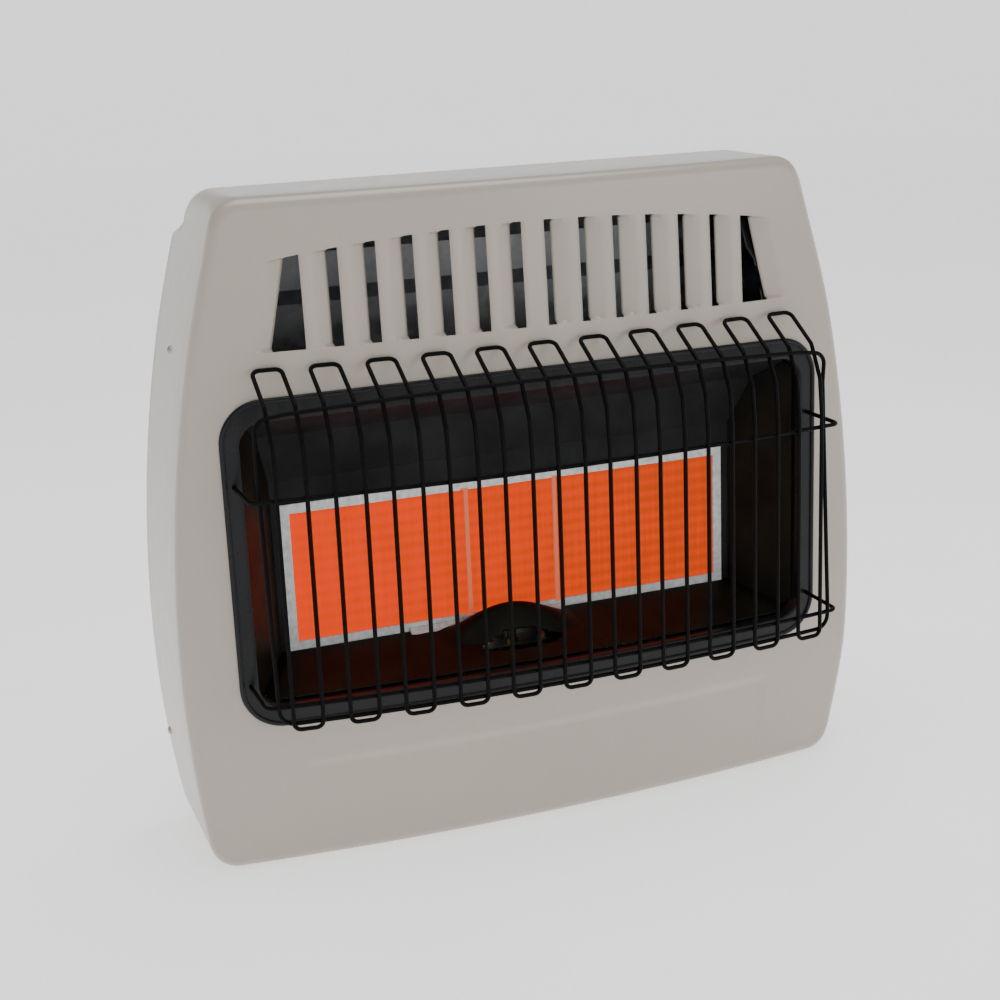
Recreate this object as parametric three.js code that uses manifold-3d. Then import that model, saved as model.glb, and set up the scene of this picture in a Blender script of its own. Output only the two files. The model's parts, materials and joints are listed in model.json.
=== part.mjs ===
// Wall mounted infrared gas heater with five ceramic plaques behind a bowed wire guard.
// Millimetres. Origin at the middle of the wall face, the front faces -Y, +Z is up.
// Order: sizes, helpers, outline of the case, sheet metal, burners, gas train, controls, guard.

import * as THREE from 'three';
import { mergeVertices } from 'three/addons/utils/BufferGeometryUtils.js';
import Module from 'manifold-3d';

const wasm = await Module();
wasm.setup();

// ---------------------------------------------------------------- sizes: case
const caseHalf = 315;
const caseDepth = 178;
const caseWaist = 349;
const waistZ = -110;
const upperTaper = 3.7e-4;
const lowerTaper = 4.6e-4;
const cornerRadius = 27;
const edgeRadius = 12;
const sheet = 1.2;
const thinSheet = 1;
const bowRise = 18;
const bowSpan = 300;
const topLeanFrom = caseHalf - 155;
const topLean = 9;
const bottomLeanFrom = 125 - caseHalf;
const bottomLean = 17;
const notchDepth = 42;
const notchLow = caseHalf - 43;
const notchHigh = caseHalf - 31;
const sideRows = [
  45 - caseHalf, 75 - caseHalf, bottomLeanFrom, -150, -125, -95, -60, -20, 25, 70, 120,
  topLeanFrom, caseHalf - 105, caseHalf - 70, caseHalf - 45,
].sort((a, b) => a - b);

// ---------------------------------------------------------------- sizes: louvres
const louvreCount = 7;
const louvreFirst = 11;
const louvrePitch = 34.1;
const louvreGap = 8.5;
const louvreBlade = 15.5;
const louvreDepth = 6.7;
const louvreBottom = caseHalf - 134;
const louvreTop = caseHalf - 38.2;
const louvreDrop = 13;
const louvreReach = 215;
const endGapTop = 11.7;
const endGapBottom = 29.4;
const endBladeTop = 19.3;
const endBladeBottom = 20.4;

// ---------------------------------------------------------------- sizes: embossed panel
const panelHalf = 238;
const panelTop = 109 - caseHalf;
const panelStep = panelTop - 13;
const panelFoot = 17 - caseHalf;
const panelDepth = 2.2;

// ---------------------------------------------------------------- sizes: bezel and window
const bezelOuter = { half: 299, bottom: -171, top: 141, rise: 3, radius: 40 };
const bezelInner = {
  half: bezelOuter.half - 18,
  bottom: bezelOuter.bottom + 23,
  top: bezelOuter.top - 21,
  rise: bezelOuter.rise,
  radius: 22,
};
const bezelProud = 2.4;
const bezelBead = 4;
const lipDepth = 14;
const lipSheet = 1;
const lipRun = lipDepth - 3;
const windowSpare = 3.5;

// ---------------------------------------------------------------- sizes: firebox
const plaqueFace = -85;
const plaqueWide = 91.4;
const plaqueTall = 132;
const plaqueThick = 13;
const plaqueFoot = -119.4;
const plaqueSeam = 0.2;
const trayWall = 0.8;
const trayFit = 0.2;
const trayBack = -36;
const traySeam = 0.2;
const gasketSheet = 2;
const seamBar = 4;
const trayFoot = plaqueFoot - trayFit - trayWall;
const trayHead = plaqueFoot + plaqueTall + trayFit + trayWall;
const midHalf = plaqueWide / 2 + trayFit + trayWall;
const sideInner = midHalf + traySeam;
const sideOuter = sideInner + 2 * (trayWall + trayFit) + 2 * plaqueWide + plaqueSeam;
const glowHalf = sideOuter - 7.9;
const glowFoot = plaqueFoot + 2;
const glowHead = plaqueFoot + plaqueTall - 1.9;
const gasketHalf = glowHalf + 9;
const gasketFoot = glowFoot - 8.6;
const gasketHead = glowHead + 9.3;
const frameHalf = gasketHalf + 13;
const frameFoot = gasketFoot - 0.6;
const creaseZ = gasketHead + 24;
const hearthHalf = gasketHalf + 9.5;
const bendAt = 0.37;
const bendRise = 0.665;
const edgeGap = 0.4;
const headGap = 1.4;
const humpAt = -14;
const humpHalf = 72;
const humpHigh = 25;
const humpDeep = plaqueFace - 22;
const humpSpan = 19.4;
const pilotHole = { x: humpAt + 4, y: plaqueFace - 49, halfX: 43, halfY: 11.5 };

// ---------------------------------------------------------------- sizes: gas train
const trainY = -56;
const pilotX = -10;
const pilotY = -100;
const probeX = 24;
const sparkX = -40;
const shelfTop = frameFoot - 21.4;
const shelfLeft = -52;
const shelfRight = 38;
const shelfReach = 12;
const pilotRadius = 4.7;
const pilotHood = 6;
const pilotHex = 7;
const pilotHigh = 14;
const hoodHigh = 5;
const hoodPort = 2;
const pilotBore = 1.5;
const stubLong = 8;
const sleeveRadius = 3.2;
const sleeveHigh = 13;
const sleeveNeck = 4.2;
const sleeveCollar = 5.5;
const sparkWire = 0.9;
const probeRadius = 3.2;
const probeTip = 1;
const probeHigh = 16;
const probeNut = 5;
const probeLead = 1.3;
const tubeRadius = 2;
const tubeNut = 4.5;
const tubeEnd = 3.6;
const tubeLevel = shelfTop - 20;
const tubeFront = pilotY - 9;
const leadRadius = 1.6;
const leadLevel = shelfTop - 12;
const leadFront = pilotY - 14;
const railZ = 57 - caseHalf;
const mixerMouthZ = railZ + 22;
const mixerThroatZ = mixerMouthZ + 24;
const mixerFlareZ = trayFoot - 29.5;
const mixerEndZ = trayFoot + 3.4;
const mixerMouth = 16;
const mixerThroat = 9;
const mixerEnd = 14;
const mixerWall = 1;
const mixerFlange = 19;
const railRadius = 7;
const railLeft = -154;
const railBore = 4.5;
const bossRadius = 7.5;
const bossTop = railZ + 9;
const jetHex = 6;
const jetHigh = 8;
const jetTip = mixerMouthZ + 3;
const valveLeft = 232;
const valveRight = 276;
const valveFront = -78;
const valveBack = -36;
const knobZ = -170;
const valveTop = knobZ + 24;
const valveWaist = knobZ - 30;
const valveFoot = railZ - 18;
const valveNarrow = 262;
const bonnetHex = 19;
const bonnetLong = 5;
const fittingHex = 7;
const fittingLong = 6;
const fittingInset = 12;
const fittingZ = valveTop - 20;
const footHex = 11;
const capScrew = 3;
const capHigh = 2.5;
const capInset = 5;
const regulatorX = 186;
const regulatorTop = valveFoot - 6;
const regulatorZ = regulatorTop - 16;
const dishRadius = 28;
const dishHalf = 10;
const clampHalf = 2;
const towerRadius = 10;
const towerHigh = 15;
const portFrom = 15;
const portTo = 34;
const portRadius = 7;
const portHex = 9;
const elbowHalf = 10;
const elbowPipe = 9;
const inletPipe = 9;
const inletBore = 6.5;
const inletBend = 11;
const inletNut = 11.5;
const inletNutHigh = 6;
const inletDrop = 12;
const inletLift = 1.4;
const jetShank = 4;
const jetPoint = 2.4;
const jetBore = 0.9;

// ---------------------------------------------------------------- sizes: controls
const stemRadius = 4;
const stemPlay = 0.05;
const stemInner = 272;
const stemBoreEnd = 264;
const stemBoss = 12;
const stemBossEnd = 288;
const collarRadius = 8;
const collarAt = 296;
const collarThick = 3;
const knobTravel = 5;
const knobBase = 356;
const knobRadius = 19;
const knobSkirt = 7;
const knobGripHigh = 13;
const knobGripWide = 9;
const knobFlutes = 18;
const igniterZ = -110;
const igniterInner = 300;
const igniterRadius = 9;
const igniterNeck = 7;
const igniterRing = 10.5;
const igniterRingEnd = 352;
const buttonRadius = 5;
const buttonInner = 341;
const buttonTip = 358;
const buttonPlay = 0.06;

// ---------------------------------------------------------------- sizes: wire guard
const wire = 2;
const wireSides = 6;
const ringCount = 11;
const legHalf = 13.07;
const guardFront = -247;
const guardBow = 16;
const guardSpan = 256;
const guardFoot = -146;
const guardShoulder = 100;
const guardHead = 167;
const headClear = 4.6;
const guardBend = 6;
const rimHalf = bezelOuter.half - 21;
const ringPitch = (2 * rimHalf - 49) / (ringCount - 1);
const rimTop = 135;
const rimRise = 8;
const rimFoot = -136;
const rimSide = -210;
const rimBend = 13;
const weld = 1;
const rodHigh = 64;
const rodLow = -125;
const hookX = bezelOuter.half - 10;
const hookEnd = -152;
const hookClear = 0.25;
const hookBend = 9;

// ---------------------------------------------------------------- sizes: back and fixings
const recessFoot = 118;
const recessHead = recessFoot + 90;
const recessDeep = 12;
const recessRamp = 12;
const sideFlange = 22;
const baffleReach = caseDepth - 40;
const panelFit = 0.4;
const slotHalf = 14;
const hookTongue = 176;
const tongueHalf = 10;
const tongueSheet = 1.8;
const bracketHook = 110;
const screwHead = 4.2;
const screwShank = 2;
const screwLong = 9;
const screwFit = 0.05;
const upperScrew = { y: -73, z: caseHalf - 139 };
const lowerScrew = { y: -12, z: 99 - caseHalf };
const baseHalf = 298;
const baseDeep = 128;
const touch = 0.02;
const trim = 0.008;
const wireTrim = 0.09;
const reach = 400;
const overlap = 5;

// ---------------------------------------------------------------- finishes
function finish(color, roughness, metalness) {
  return new THREE.MeshStandardMaterial({ color, roughness, metalness });
}

const paint = finish('#a39b92', 0.35, 0.1);
const gloss = finish('#26272a', 0.3, 0.2);
const guardBlack = finish('#151516', 0.45, 0.3);
const enamel = finish('#241410', 0.25, 0.3);
const zinc = finish('#9a9c9e', 0.45, 0.8);
const steel = finish('#8c8880', 0.4, 0.9);
const clay = finish('#dc562a', 0.85, 0);
const fibre = finish('#d9d9d4', 0.9, 0);
const brass = finish('#b9913f', 0.35, 0.9);
const dieCast = finish('#b4b5b6', 0.5, 0.7);
const plastic = finish('#1c1c1d', 0.5, 0);
const ceramic = finish('#ece9e0', 0.4, 0);
const copper = finish('#a8673c', 0.35, 0.9);
const rubber = finish('#7c1d1a', 0.7, 0);

// ---------------------------------------------------------------- helpers: solids
/** Welds a geometry and hands it over as a solid that faces outwards. */
function solidOf(geometry) {
  const bare = geometry.clone();
  bare.deleteAttribute('normal');
  bare.deleteAttribute('uv');
  const welded = mergeVertices(bare, 1e-4);
  const spots = welded.attributes.position.array;
  const faces = [];
  const raw = welded.index.array;
  let volume = 0;
  const a = new THREE.Vector3();
  const b = new THREE.Vector3();
  const c = new THREE.Vector3();
  for (let i = 0; i < raw.length; i += 3) {
    const [p, q, r] = [raw[i], raw[i + 1], raw[i + 2]];
    if (p === q || q === r || p === r) continue;
    a.fromArray(spots, 3 * p);
    b.fromArray(spots, 3 * q);
    c.fromArray(spots, 3 * r);
    volume += a.dot(b.cross(c));
    faces.push(p, q, r);
  }
  if (volume < 0) faces.reverse();
  return new wasm.Manifold(new wasm.Mesh({
    numProp: 3,
    vertProperties: Float32Array.from(spots),
    triVerts: Uint32Array.from(faces),
  }));
}

/** A mesh that bears a name and a finish, from a solid. */
function piece(name, material, solid) {
  const out = solid.asOriginal().simplify(name === 'wire_guard' ? wireTrim : trim).getMesh();
  const geometry = new THREE.BufferGeometry();
  geometry.setAttribute('position', new THREE.BufferAttribute(out.vertProperties.slice(), 3));
  geometry.setIndex(new THREE.BufferAttribute(out.triVerts.slice(), 1));
  geometry.computeVertexNormals();
  const mesh = new THREE.Mesh(geometry, material);
  mesh.name = name;
  return mesh;
}

/** A block between two corners. */
function block(x0, x1, y0, y1, z0, z1) {
  const geometry = new THREE.BoxGeometry(x1 - x0, y1 - y0, z1 - z0);
  geometry.translate((x0 + x1) / 2, (y0 + y1) / 2, (z0 + z1) / 2);
  return solidOf(geometry);
}

/** A round bar or cone along an axis: radius r0 at the start and r1 at the end. */
function bar(axis, at, from, to, r0, r1 = r0, sides = 24) {
  const geometry = new THREE.CylinderGeometry(r1, r0, to - from, sides);
  geometry.translate(0, (from + to) / 2, 0);
  if (axis === 'x') geometry.rotateZ(-Math.PI / 2);
  if (axis === 'z') geometry.rotateX(Math.PI / 2);
  geometry.translate(at.x ?? 0, at.y ?? 0, at.z ?? 0);
  return solidOf(geometry);
}

/** The area vector of a ring of points, which names its flattest view. */
function areaOf(ring) {
  const area = new THREE.Vector3();
  ring.forEach((point, i) => {
    const next = ring[(i + 1) % ring.length];
    area.x += (point.y - next.y) * (point.z + next.z);
    area.y += (point.z - next.z) * (point.x + next.x);
    area.z += (point.x - next.x) * (point.y + next.y);
  });
  return area;
}

/** Triangles that close a ring, in the turning sense of the ring. */
function capOf(ring) {
  const area = areaOf(ring);
  const size = [Math.abs(area.x), Math.abs(area.y), Math.abs(area.z)];
  const main = size.indexOf(Math.max(...size));
  const pick = [(p) => [p.y, p.z], (p) => [p.z, p.x], (p) => [p.x, p.y]][main];
  const flat = ring.map((p) => new THREE.Vector2(...pick(p)));
  const sense = Math.sign(THREE.ShapeUtils.area(flat));
  return THREE.ShapeUtils.triangulateShape(flat, []).map(([i, j, k]) => {
    const turn = THREE.ShapeUtils.area([flat[i], flat[j], flat[k]]);
    return Math.sign(turn) === sense ? [i, j, k] : [k, j, i];
  });
}

/** A solid through rings of equal count, capped at both ends or joined head to tail. */
function loft(rings, joined = false) {
  const count = rings[0].length;
  const spots = rings.flat().flatMap((p) => [p.x, p.y, p.z]);
  const faces = [];
  const spans = joined ? rings.length : rings.length - 1;
  for (let r = 0; r < spans; r += 1) {
    const low = r * count;
    const high = ((r + 1) % rings.length) * count;
    for (let i = 0; i < count; i += 1) {
      const j = (i + 1) % count;
      faces.push(low + i, low + j, high + j, low + i, high + j, high + i);
    }
  }
  if (!joined) {
    const last = (rings.length - 1) * count;
    capOf(rings[0]).forEach(([i, j, k]) => faces.push(k, j, i));
    capOf(rings[rings.length - 1]).forEach(([i, j, k]) => faces.push(last + i, last + j, last + k));
  }
  return solidOf(meshOf(spots, faces));
}

/** A bare indexed geometry. */
function meshOf(spots, faces) {
  const geometry = new THREE.BufferGeometry();
  geometry.setAttribute('position', new THREE.Float32BufferAttribute(spots, 3));
  geometry.setIndex(faces);
  return geometry;
}

/** A point of space, for short. */
function v(x, y, z) {
  return new THREE.Vector3(x, y, z);
}

/** A profile in the side view (y, z) drawn out along x. */
function drawnOut(profile, x0, x1) {
  return loft([x0, x1].map((x) => profile.map(([y, z]) => v(x, y, z))));
}

/** A plan in the front view (x, z) drawn out along y. */
function prism(plan, y0, y1) {
  return loft([y0, y1].map((y) => plan.map((p) => v(p.x, y, p.z))));
}

/** The closed outline of a bent sheet: a path in the side view and its offset by a thickness. */
function bentSheet(path, thickness, x0, x1) {
  const side = path.map((point, i) => {
    const before = path[Math.max(i - 1, 0)];
    const after = path[Math.min(i + 1, path.length - 1)];
    const into = new THREE.Vector2(point[0] - before[0], point[1] - before[1]).normalize();
    const out = new THREE.Vector2(after[0] - point[0], after[1] - point[1]).normalize();
    const way = into.clone().add(out).normalize();
    const solo = into.lengthSq() > 0 ? into : out;
    const stretch = thickness / Math.max(way.dot(solo), 0.5);
    return [point[0] - way.y * stretch, point[1] + way.x * stretch];
  });
  return drawnOut([...path, ...side.reverse()], x0, x1);
}

/** A sheet from a grid of points: the grid is one skin, the other lies a thickness behind it. */
function skin(rows, thickness, flip = false) {
  const across = rows[0].length;
  const down = rows.length;
  const front = rows.flat();
  const spots = front.flatMap((p) => [p.x, p.y, p.z]);
  const sense = flip ? -1 : 1;
  rows.forEach((row, r) => row.forEach((point, c) => {
    const alongRow = row[Math.min(c + 1, across - 1)].clone().sub(row[Math.max(c - 1, 0)]);
    const alongCol = rows[Math.min(r + 1, down - 1)][c].clone().sub(rows[Math.max(r - 1, 0)][c]);
    const back = alongRow.cross(alongCol).setLength(sense * thickness).add(point);
    spots.push(back.x, back.y, back.z);
  }));
  const behind = across * down;
  const faces = [];
  const quad = (i, j, k, l) => faces.push(i, j, k, i, k, l);
  for (let r = 0; r + 1 < down; r += 1) {
    for (let c = 0; c + 1 < across; c += 1) {
      const at = r * across + c;
      quad(at, at + across, at + across + 1, at + 1);
      quad(behind + at, behind + at + 1, behind + at + across + 1, behind + at + across);
    }
  }
  const edge = [];
  for (let c = 0; c < across; c += 1) edge.push(c);
  for (let r = 1; r < down; r += 1) edge.push(r * across + across - 1);
  for (let c = across - 2; c >= 0; c -= 1) edge.push((down - 1) * across + c);
  for (let r = down - 2; r > 0; r -= 1) edge.push(r * across);
  edge.forEach((from, i) => {
    const to = edge[(i + 1) % edge.length];
    quad(from, to, behind + to, behind + from);
  });
  return solidOf(meshOf(spots, faces));
}

/** A path with straight runs, whose points are all kept by the sweep. */
class Route extends THREE.Curve {
  constructor(points) {
    super();
    this.points = points;
  }

  getPoint(t, target = new THREE.Vector3()) {
    const last = this.points.length - 1;
    const place = Math.round(t * last * 1e6) / 1e6;
    const i = Math.min(Math.floor(place), last - 1);
    return target.lerpVectors(this.points[i], this.points[i + 1], place - i);
  }

  getPointAt(u, target) {
    return this.getPoint(u, target);
  }

  getTangentAt(u, target = new THREE.Vector3()) {
    const last = this.points.length - 1;
    const i = Math.round(u * last);
    const before = this.points[Math.max(i - 1, 0)];
    const after = this.points[Math.min(i + 1, last)];
    const here = this.points[i];
    const into = here.clone().sub(before).normalize();
    const out = after.clone().sub(here).normalize();
    return target.copy(into.add(out)).normalize();
  }
}

/** Rounds each corner of a path with an arc. */
function rounded(points, radius, steps = 3) {
  const path = [points[0]];
  for (let i = 1; i + 1 < points.length; i += 1) {
    const into = points[i].clone().sub(points[i - 1]).normalize();
    const out = points[i + 1].clone().sub(points[i]).normalize();
    const turn = Math.acos(THREE.MathUtils.clamp(into.dot(out), -1, 1));
    if (turn < 0.02) {
      path.push(points[i]);
      continue;
    }
    const inward = out.clone().addScaledVector(into, -into.dot(out)).normalize();
    const start = points[i].clone().addScaledVector(into, -radius * Math.tan(turn / 2));
    for (let s = 0; s <= steps; s += 1) {
      const angle = (turn * s) / steps;
      const spot = start.clone().addScaledVector(into, radius * Math.sin(angle));
      path.push(spot.addScaledVector(inward, radius * (1 - Math.cos(angle))));
    }
  }
  path.push(points[points.length - 1]);
  return path;
}

/** A round wire or tube of a radius along a path. */
function rod(points, radius, sides = 8) {
  const shape = new THREE.Shape();
  for (let i = 0; i < sides; i += 1) {
    const angle = (2 * Math.PI * i) / sides;
    shape[i ? 'lineTo' : 'moveTo'](radius * Math.cos(angle), radius * Math.sin(angle));
  }
  const sweep = { steps: points.length - 1, bevelEnabled: false, extrudePath: new Route(points) };
  return solidOf(new THREE.ExtrudeGeometry(shape, sweep));
}

/** A turned body: [radius, height] pairs that close on themselves or on the axis. */
function turned(profile, place, sides = 18) {
  const points = profile.map(([r, h]) => new THREE.Vector2(r, h));
  const geometry = new THREE.LatheGeometry(points, sides);
  geometry.rotateX(Math.PI / 2);
  geometry.translate(place.x, place.y, place.z ?? 0);
  return solidOf(geometry);
}

/** The union of a list of solids. */
function joinAll(solids) {
  return solids.reduce((sum, solid) => sum.add(solid));
}

// ---------------------------------------------------------------- form of the case
/** Half width of the case at a height. */
function halfWidth(z) {
  return caseWaist - (z > waistZ ? upperTaper : lowerTaper) * (z - waistZ) ** 2;
}

/** Slope of the side wall at a height. */
function sideSlope(z) {
  return -2 * (z > waistZ ? upperTaper : lowerTaper) * (z - waistZ);
}

/** Stations across the front, one in each flat strip between two louvres. */
const bowStations = [];
for (let k = 0; k < louvreCount; k += 1) {
  const x = louvreFirst + louvrePitch * k - (louvrePitch - louvreGap - louvreBlade) / 2;
  bowStations.push(x, -x);
}
bowStations.sort((a, b) => a - b);
const bowLast = bowStations[bowStations.length - 1];

/** How far the bowed front falls back at x, in flats between the stations. */
function bowFall(x) {
  const at = Math.abs(x);
  const fall = (s) => bowRise * (s / bowSpan) ** 2;
  if (at >= bowLast) {
    const slope = (fall(bowSpan) - fall(bowLast)) / (bowSpan - bowLast);
    return fall(bowLast) + slope * (at - bowLast);
  }
  const right = bowStations.find((s) => s >= at);
  const left = right === bowStations.find((s) => s > 0) ? -right : right - louvrePitch;
  return fall(left) + ((fall(right) - fall(left)) * (at - left)) / (right - left);
}

/** Depth of the front face at a point of the front view. */
function faceY(x, z) {
  const above = Math.max(z - topLeanFrom, 0) / (caseHalf - topLeanFrom);
  const below = Math.max(bottomLeanFrom - z, 0) / (caseHalf + bottomLeanFrom);
  return -caseDepth + bowFall(x) + topLean * above + bottomLean * below;
}

/** Outline of the case in the front view, moved inwards, anticlockwise from the lower left. */
function outline(inset) {
  const plan = [];
  const corner = (high, from, to, side) => {
    const cz = high * (caseHalf - cornerRadius);
    const lean = Math.atan(-sideSlope(cz));
    const endZ = cz + cornerRadius * Math.sin(lean);
    const cx = halfWidth(endZ) - cornerRadius * Math.cos(lean);
    const steps = 4;
    for (let s = 0; s <= steps; s += 1) {
      const t = from + ((to - from) * s) / steps;
      const angle = high * (Math.PI / 2) * (1 - t) + lean * t;
      const r = cornerRadius - inset;
      plan.push({ x: side * (cx + r * Math.cos(angle)), z: cz + r * Math.sin(angle) });
    }
  };
  bowStations.forEach((x) => plan.push({ x, z: inset - caseHalf }));
  corner(-1, 0, 1, 1);
  sideRows.forEach((z) => plan.push({ x: halfWidth(z) - inset, z }));
  corner(1, 1, 0, 1);
  [...bowStations].reverse().forEach((x) => plan.push({ x, z: caseHalf - inset }));
  corner(1, 0, 1, -1);
  [...sideRows].reverse().forEach((z) => plan.push({ x: inset - halfWidth(z), z }));
  corner(-1, 1, 0, -1);
  return plan;
}

/** Cuts a convex plan by a line across x or z and keeps one side. */
function trimmed(plan, key, value, keepAbove) {
  const sense = keepAbove ? 1 : -1;
  const near = 1e-5;
  const kept = [];
  plan.forEach((point, i) => {
    const next = plan[(i + 1) % plan.length];
    const here = sense * (point[key] - value);
    const there = sense * (next[key] - value);
    if (here >= -near) kept.push(point);
    if ((here > near && there < -near) || (here < -near && there > near)) {
      const t = here / (here - there);
      kept.push({ x: point.x + t * (next.x - point.x), z: point.z + t * (next.z - point.z) });
    }
  });
  return kept;
}

/** Cells of the front face: strips between bow stations, cut at the two lean lines. */
function faceCells(plan) {
  const xs = [-reach, ...bowStations, reach];
  const zs = [-reach, bottomLeanFrom, topLeanFrom, reach];
  const cells = [];
  for (let i = 0; i + 1 < xs.length; i += 1) {
    for (let j = 0; j + 1 < zs.length; j += 1) {
      let cell = trimmed(plan, 'x', xs[i], true);
      cell = trimmed(cell, 'x', xs[i + 1], false);
      cell = trimmed(cell, 'z', zs[j], true);
      cell = trimmed(cell, 'z', zs[j + 1], false);
      if (cell.length > 2) cells.push(cell);
    }
  }
  return cells;
}

/** The body of the case as a full solid, with a rounded front edge. */
function caseBody(inset, back) {
  const radius = edgeRadius - inset;
  const steps = 3;
  const levels = [{ e: inset, y: () => back }];
  for (let s = 0; s <= steps; s += 1) {
    const angle = (Math.PI * s) / (2 * steps);
    const sink = radius * (1 - Math.sin(angle)) + inset;
    const e = inset + radius * (1 - Math.cos(angle));
    levels.push({ e, y: (p) => faceY(p.x, p.z) + sink });
  }
  const rings = levels.map(({ e, y }) => outline(e).map((p) => v(p.x, y(p), p.z)));
  const count = rings[0].length;
  const spots = rings.flat().flatMap((p) => [p.x, p.y, p.z]);
  const faces = [];
  for (let r = 0; r + 1 < rings.length; r += 1) {
    for (let i = 0; i < count; i += 1) {
      const j = (i + 1) % count;
      const [low, high] = [r * count, (r + 1) * count];
      faces.push(low + i, high + j, low + j, low + i, high + i, high + j);
    }
  }
  capOf(rings[0]).forEach(([i, j, k]) => faces.push(i, j, k));
  faceCells(outline(edgeRadius)).forEach((cell) => {
    const first = spots.length / 3;
    cell.forEach((p) => spots.push(p.x, faceY(p.x, p.z) + inset, p.z));
    for (let i = 1; i + 1 < cell.length; i += 1) faces.push(first, first + i + 1, first + i);
  });
  return solidOf(meshOf(spots, faces));
}

/** Place and outward lean of the side wall at a height: the flat between two side rows. */
function wallFrame(z) {
  const high = sideRows.findIndex((row) => row > z);
  const [z0, z1] = [sideRows[high - 1], sideRows[high]];
  const [x0, x1] = [halfWidth(z0), halfWidth(z1)];
  const slope = (x1 - x0) / (z1 - z0);
  return { x: x0 + slope * (z - z0), lean: Math.atan(-slope) };
}

/** A rounded frame outline with an arched top, one point at each bow station. */
function frameLoop({ half, bottom, top, rise, radius }) {
  const plan = [];
  const steps = 5;
  const corner = (cx, cz, from) => {
    for (let s = 0; s <= steps; s += 1) {
      const angle = from + (Math.PI * s) / (2 * steps);
      plan.push({ x: cx + radius * Math.cos(angle), z: cz + radius * Math.sin(angle) });
    }
  };
  const inner = half - radius;
  const stations = bowStations.filter((x) => Math.abs(x) < inner);
  stations.forEach((x) => plan.push({ x, z: bottom }));
  corner(inner, bottom + radius, -Math.PI / 2);
  corner(inner, top - radius, 0);
  [...stations].reverse().forEach((x) => plan.push({ x, z: top + rise * (1 - (x / inner) ** 2) }));
  corner(-inner, top - radius, Math.PI / 2);
  corner(-inner, bottom + radius, Math.PI);
  return plan;
}

/** The same frame, grown outwards by a distance. */
function grown(frame, by) {
  const { half, bottom, top, rise, radius } = frame;
  return { half: half + by, bottom: bottom - by, top: top + by, rise, radius: radius + by };
}

// ---------------------------------------------------------------- sheet metal
/** One pressed louvre: the metal to add behind the face and the space to clear. */
function louvre(k, side) {
  const x0 = louvreFirst + louvrePitch * k;
  const last = k === louvreCount - 1;
  const sizes = {
    foot: last ? [endGapBottom, endBladeBottom] : [louvreGap, louvreBlade],
    head: last ? [endGapTop, endBladeTop] : [louvreGap, louvreBlade],
  };
  const ring = (z, [gap, blade], points) => points(gap, blade).map(([dx, dy]) => {
    const x = x0 + dx;
    return v(side * x, faceY(x, z) + dy, z);
  });
  const tip = (x) => louvreTop - louvreDrop * (x / louvreReach) ** 2;
  const headZ = tip(x0 + (louvreGap + louvreBlade) / 2);
  const back = sheet * 1.09;
  const metal = (gap, blade) => [
    [gap, sheet / 4], [gap, louvreDepth + back], [gap + blade, back], [gap + blade + 1, sheet / 4],
  ];
  const space = (gap, blade) => [
    [0, -2], [0, louvreDepth + 4], [gap, louvreDepth + 4], [gap, louvreDepth], [gap + blade, 0],
    [gap + blade, -2],
  ];
  const add = loft([
    ring(louvreBottom - sheet, sizes.foot, metal), ring(headZ + sheet, sizes.head, metal),
  ]);
  const clear = loft([
    ring(louvreBottom, sizes.foot, space), ring(headZ, sizes.head, space),
  ]);
  return { add, clear };
}

/** The shallow panel pressed into the front below the window. */
function embossed() {
  const xs = [-panelHalf, ...bowStations, panelHalf];
  const ring = (x, points) => points.map(([z, dy]) => v(x, faceY(x, z) + dy, z));
  const metal = [
    [panelTop + sheet, sheet / 4], [panelFoot - sheet, sheet / 4],
    [panelFoot - sheet, sheet], [panelStep, panelDepth + sheet], [panelTop + sheet, sheet],
  ];
  const space = [[panelTop, -2], [panelTop, 0], [panelStep, panelDepth], [panelFoot, 0], [panelFoot, -2]];
  return { add: loft(xs.map((x) => ring(x, metal))), clear: loft(xs.map((x) => ring(x, space))) };
}

/** A cutter along the axis of a side screw or through a side wall. */
function wallBore(z, y, radius, side) {
  return bar('x', { y, z }, side > 0 ? waistZ + reach : -reach, side > 0 ? reach : -waistZ - reach, radius);
}

/** The one piece cover: bowed front, curved sides, flat top and a returned bottom. */
function makeCover() {
  let shell = caseBody(0, 0).subtract(caseBody(sheet, overlap));
  const presses = [embossed()];
  for (let k = 0; k < louvreCount; k += 1) presses.push(louvre(k, 1), louvre(k, -1));
  presses.forEach(({ add }) => { shell = shell.add(add); });
  presses.forEach(({ clear }) => { shell = shell.subtract(clear); });
  const notch = [
    [-notchDepth, caseHalf + sheet], [-notchDepth, notchHigh], [0, notchLow],
    [sheet, notchLow], [sheet, caseHalf + sheet],
  ];
  shell = shell.subtract(drawnOut(notch, -reach, reach));
  const window = frameLoop(grown(bezelInner, windowSpare));
  shell = shell.subtract(prism(window, -reach, plaqueFace - 3 * overlap));
  const lap = 10;
  shell = shell.subtract(block(lap - baseHalf, baseHalf - lap, lap - baseDeep, -6 - lap, -caseHalf - 1,
    -caseHalf + 2 * sheet));
  shell = shell.subtract(hookHoles());
  [1, -1].forEach((side) => {
    shell = shell.subtract(screwBore(upperScrew, side)).subtract(screwBore(lowerScrew, side));
  });
  shell = shell.subtract(wallBore(knobZ, trainY, stemRadius + 3, 1));
  return shell.subtract(wallBore(igniterZ, trainY, igniterNeck + panelFit / 2, 1));
}

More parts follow.
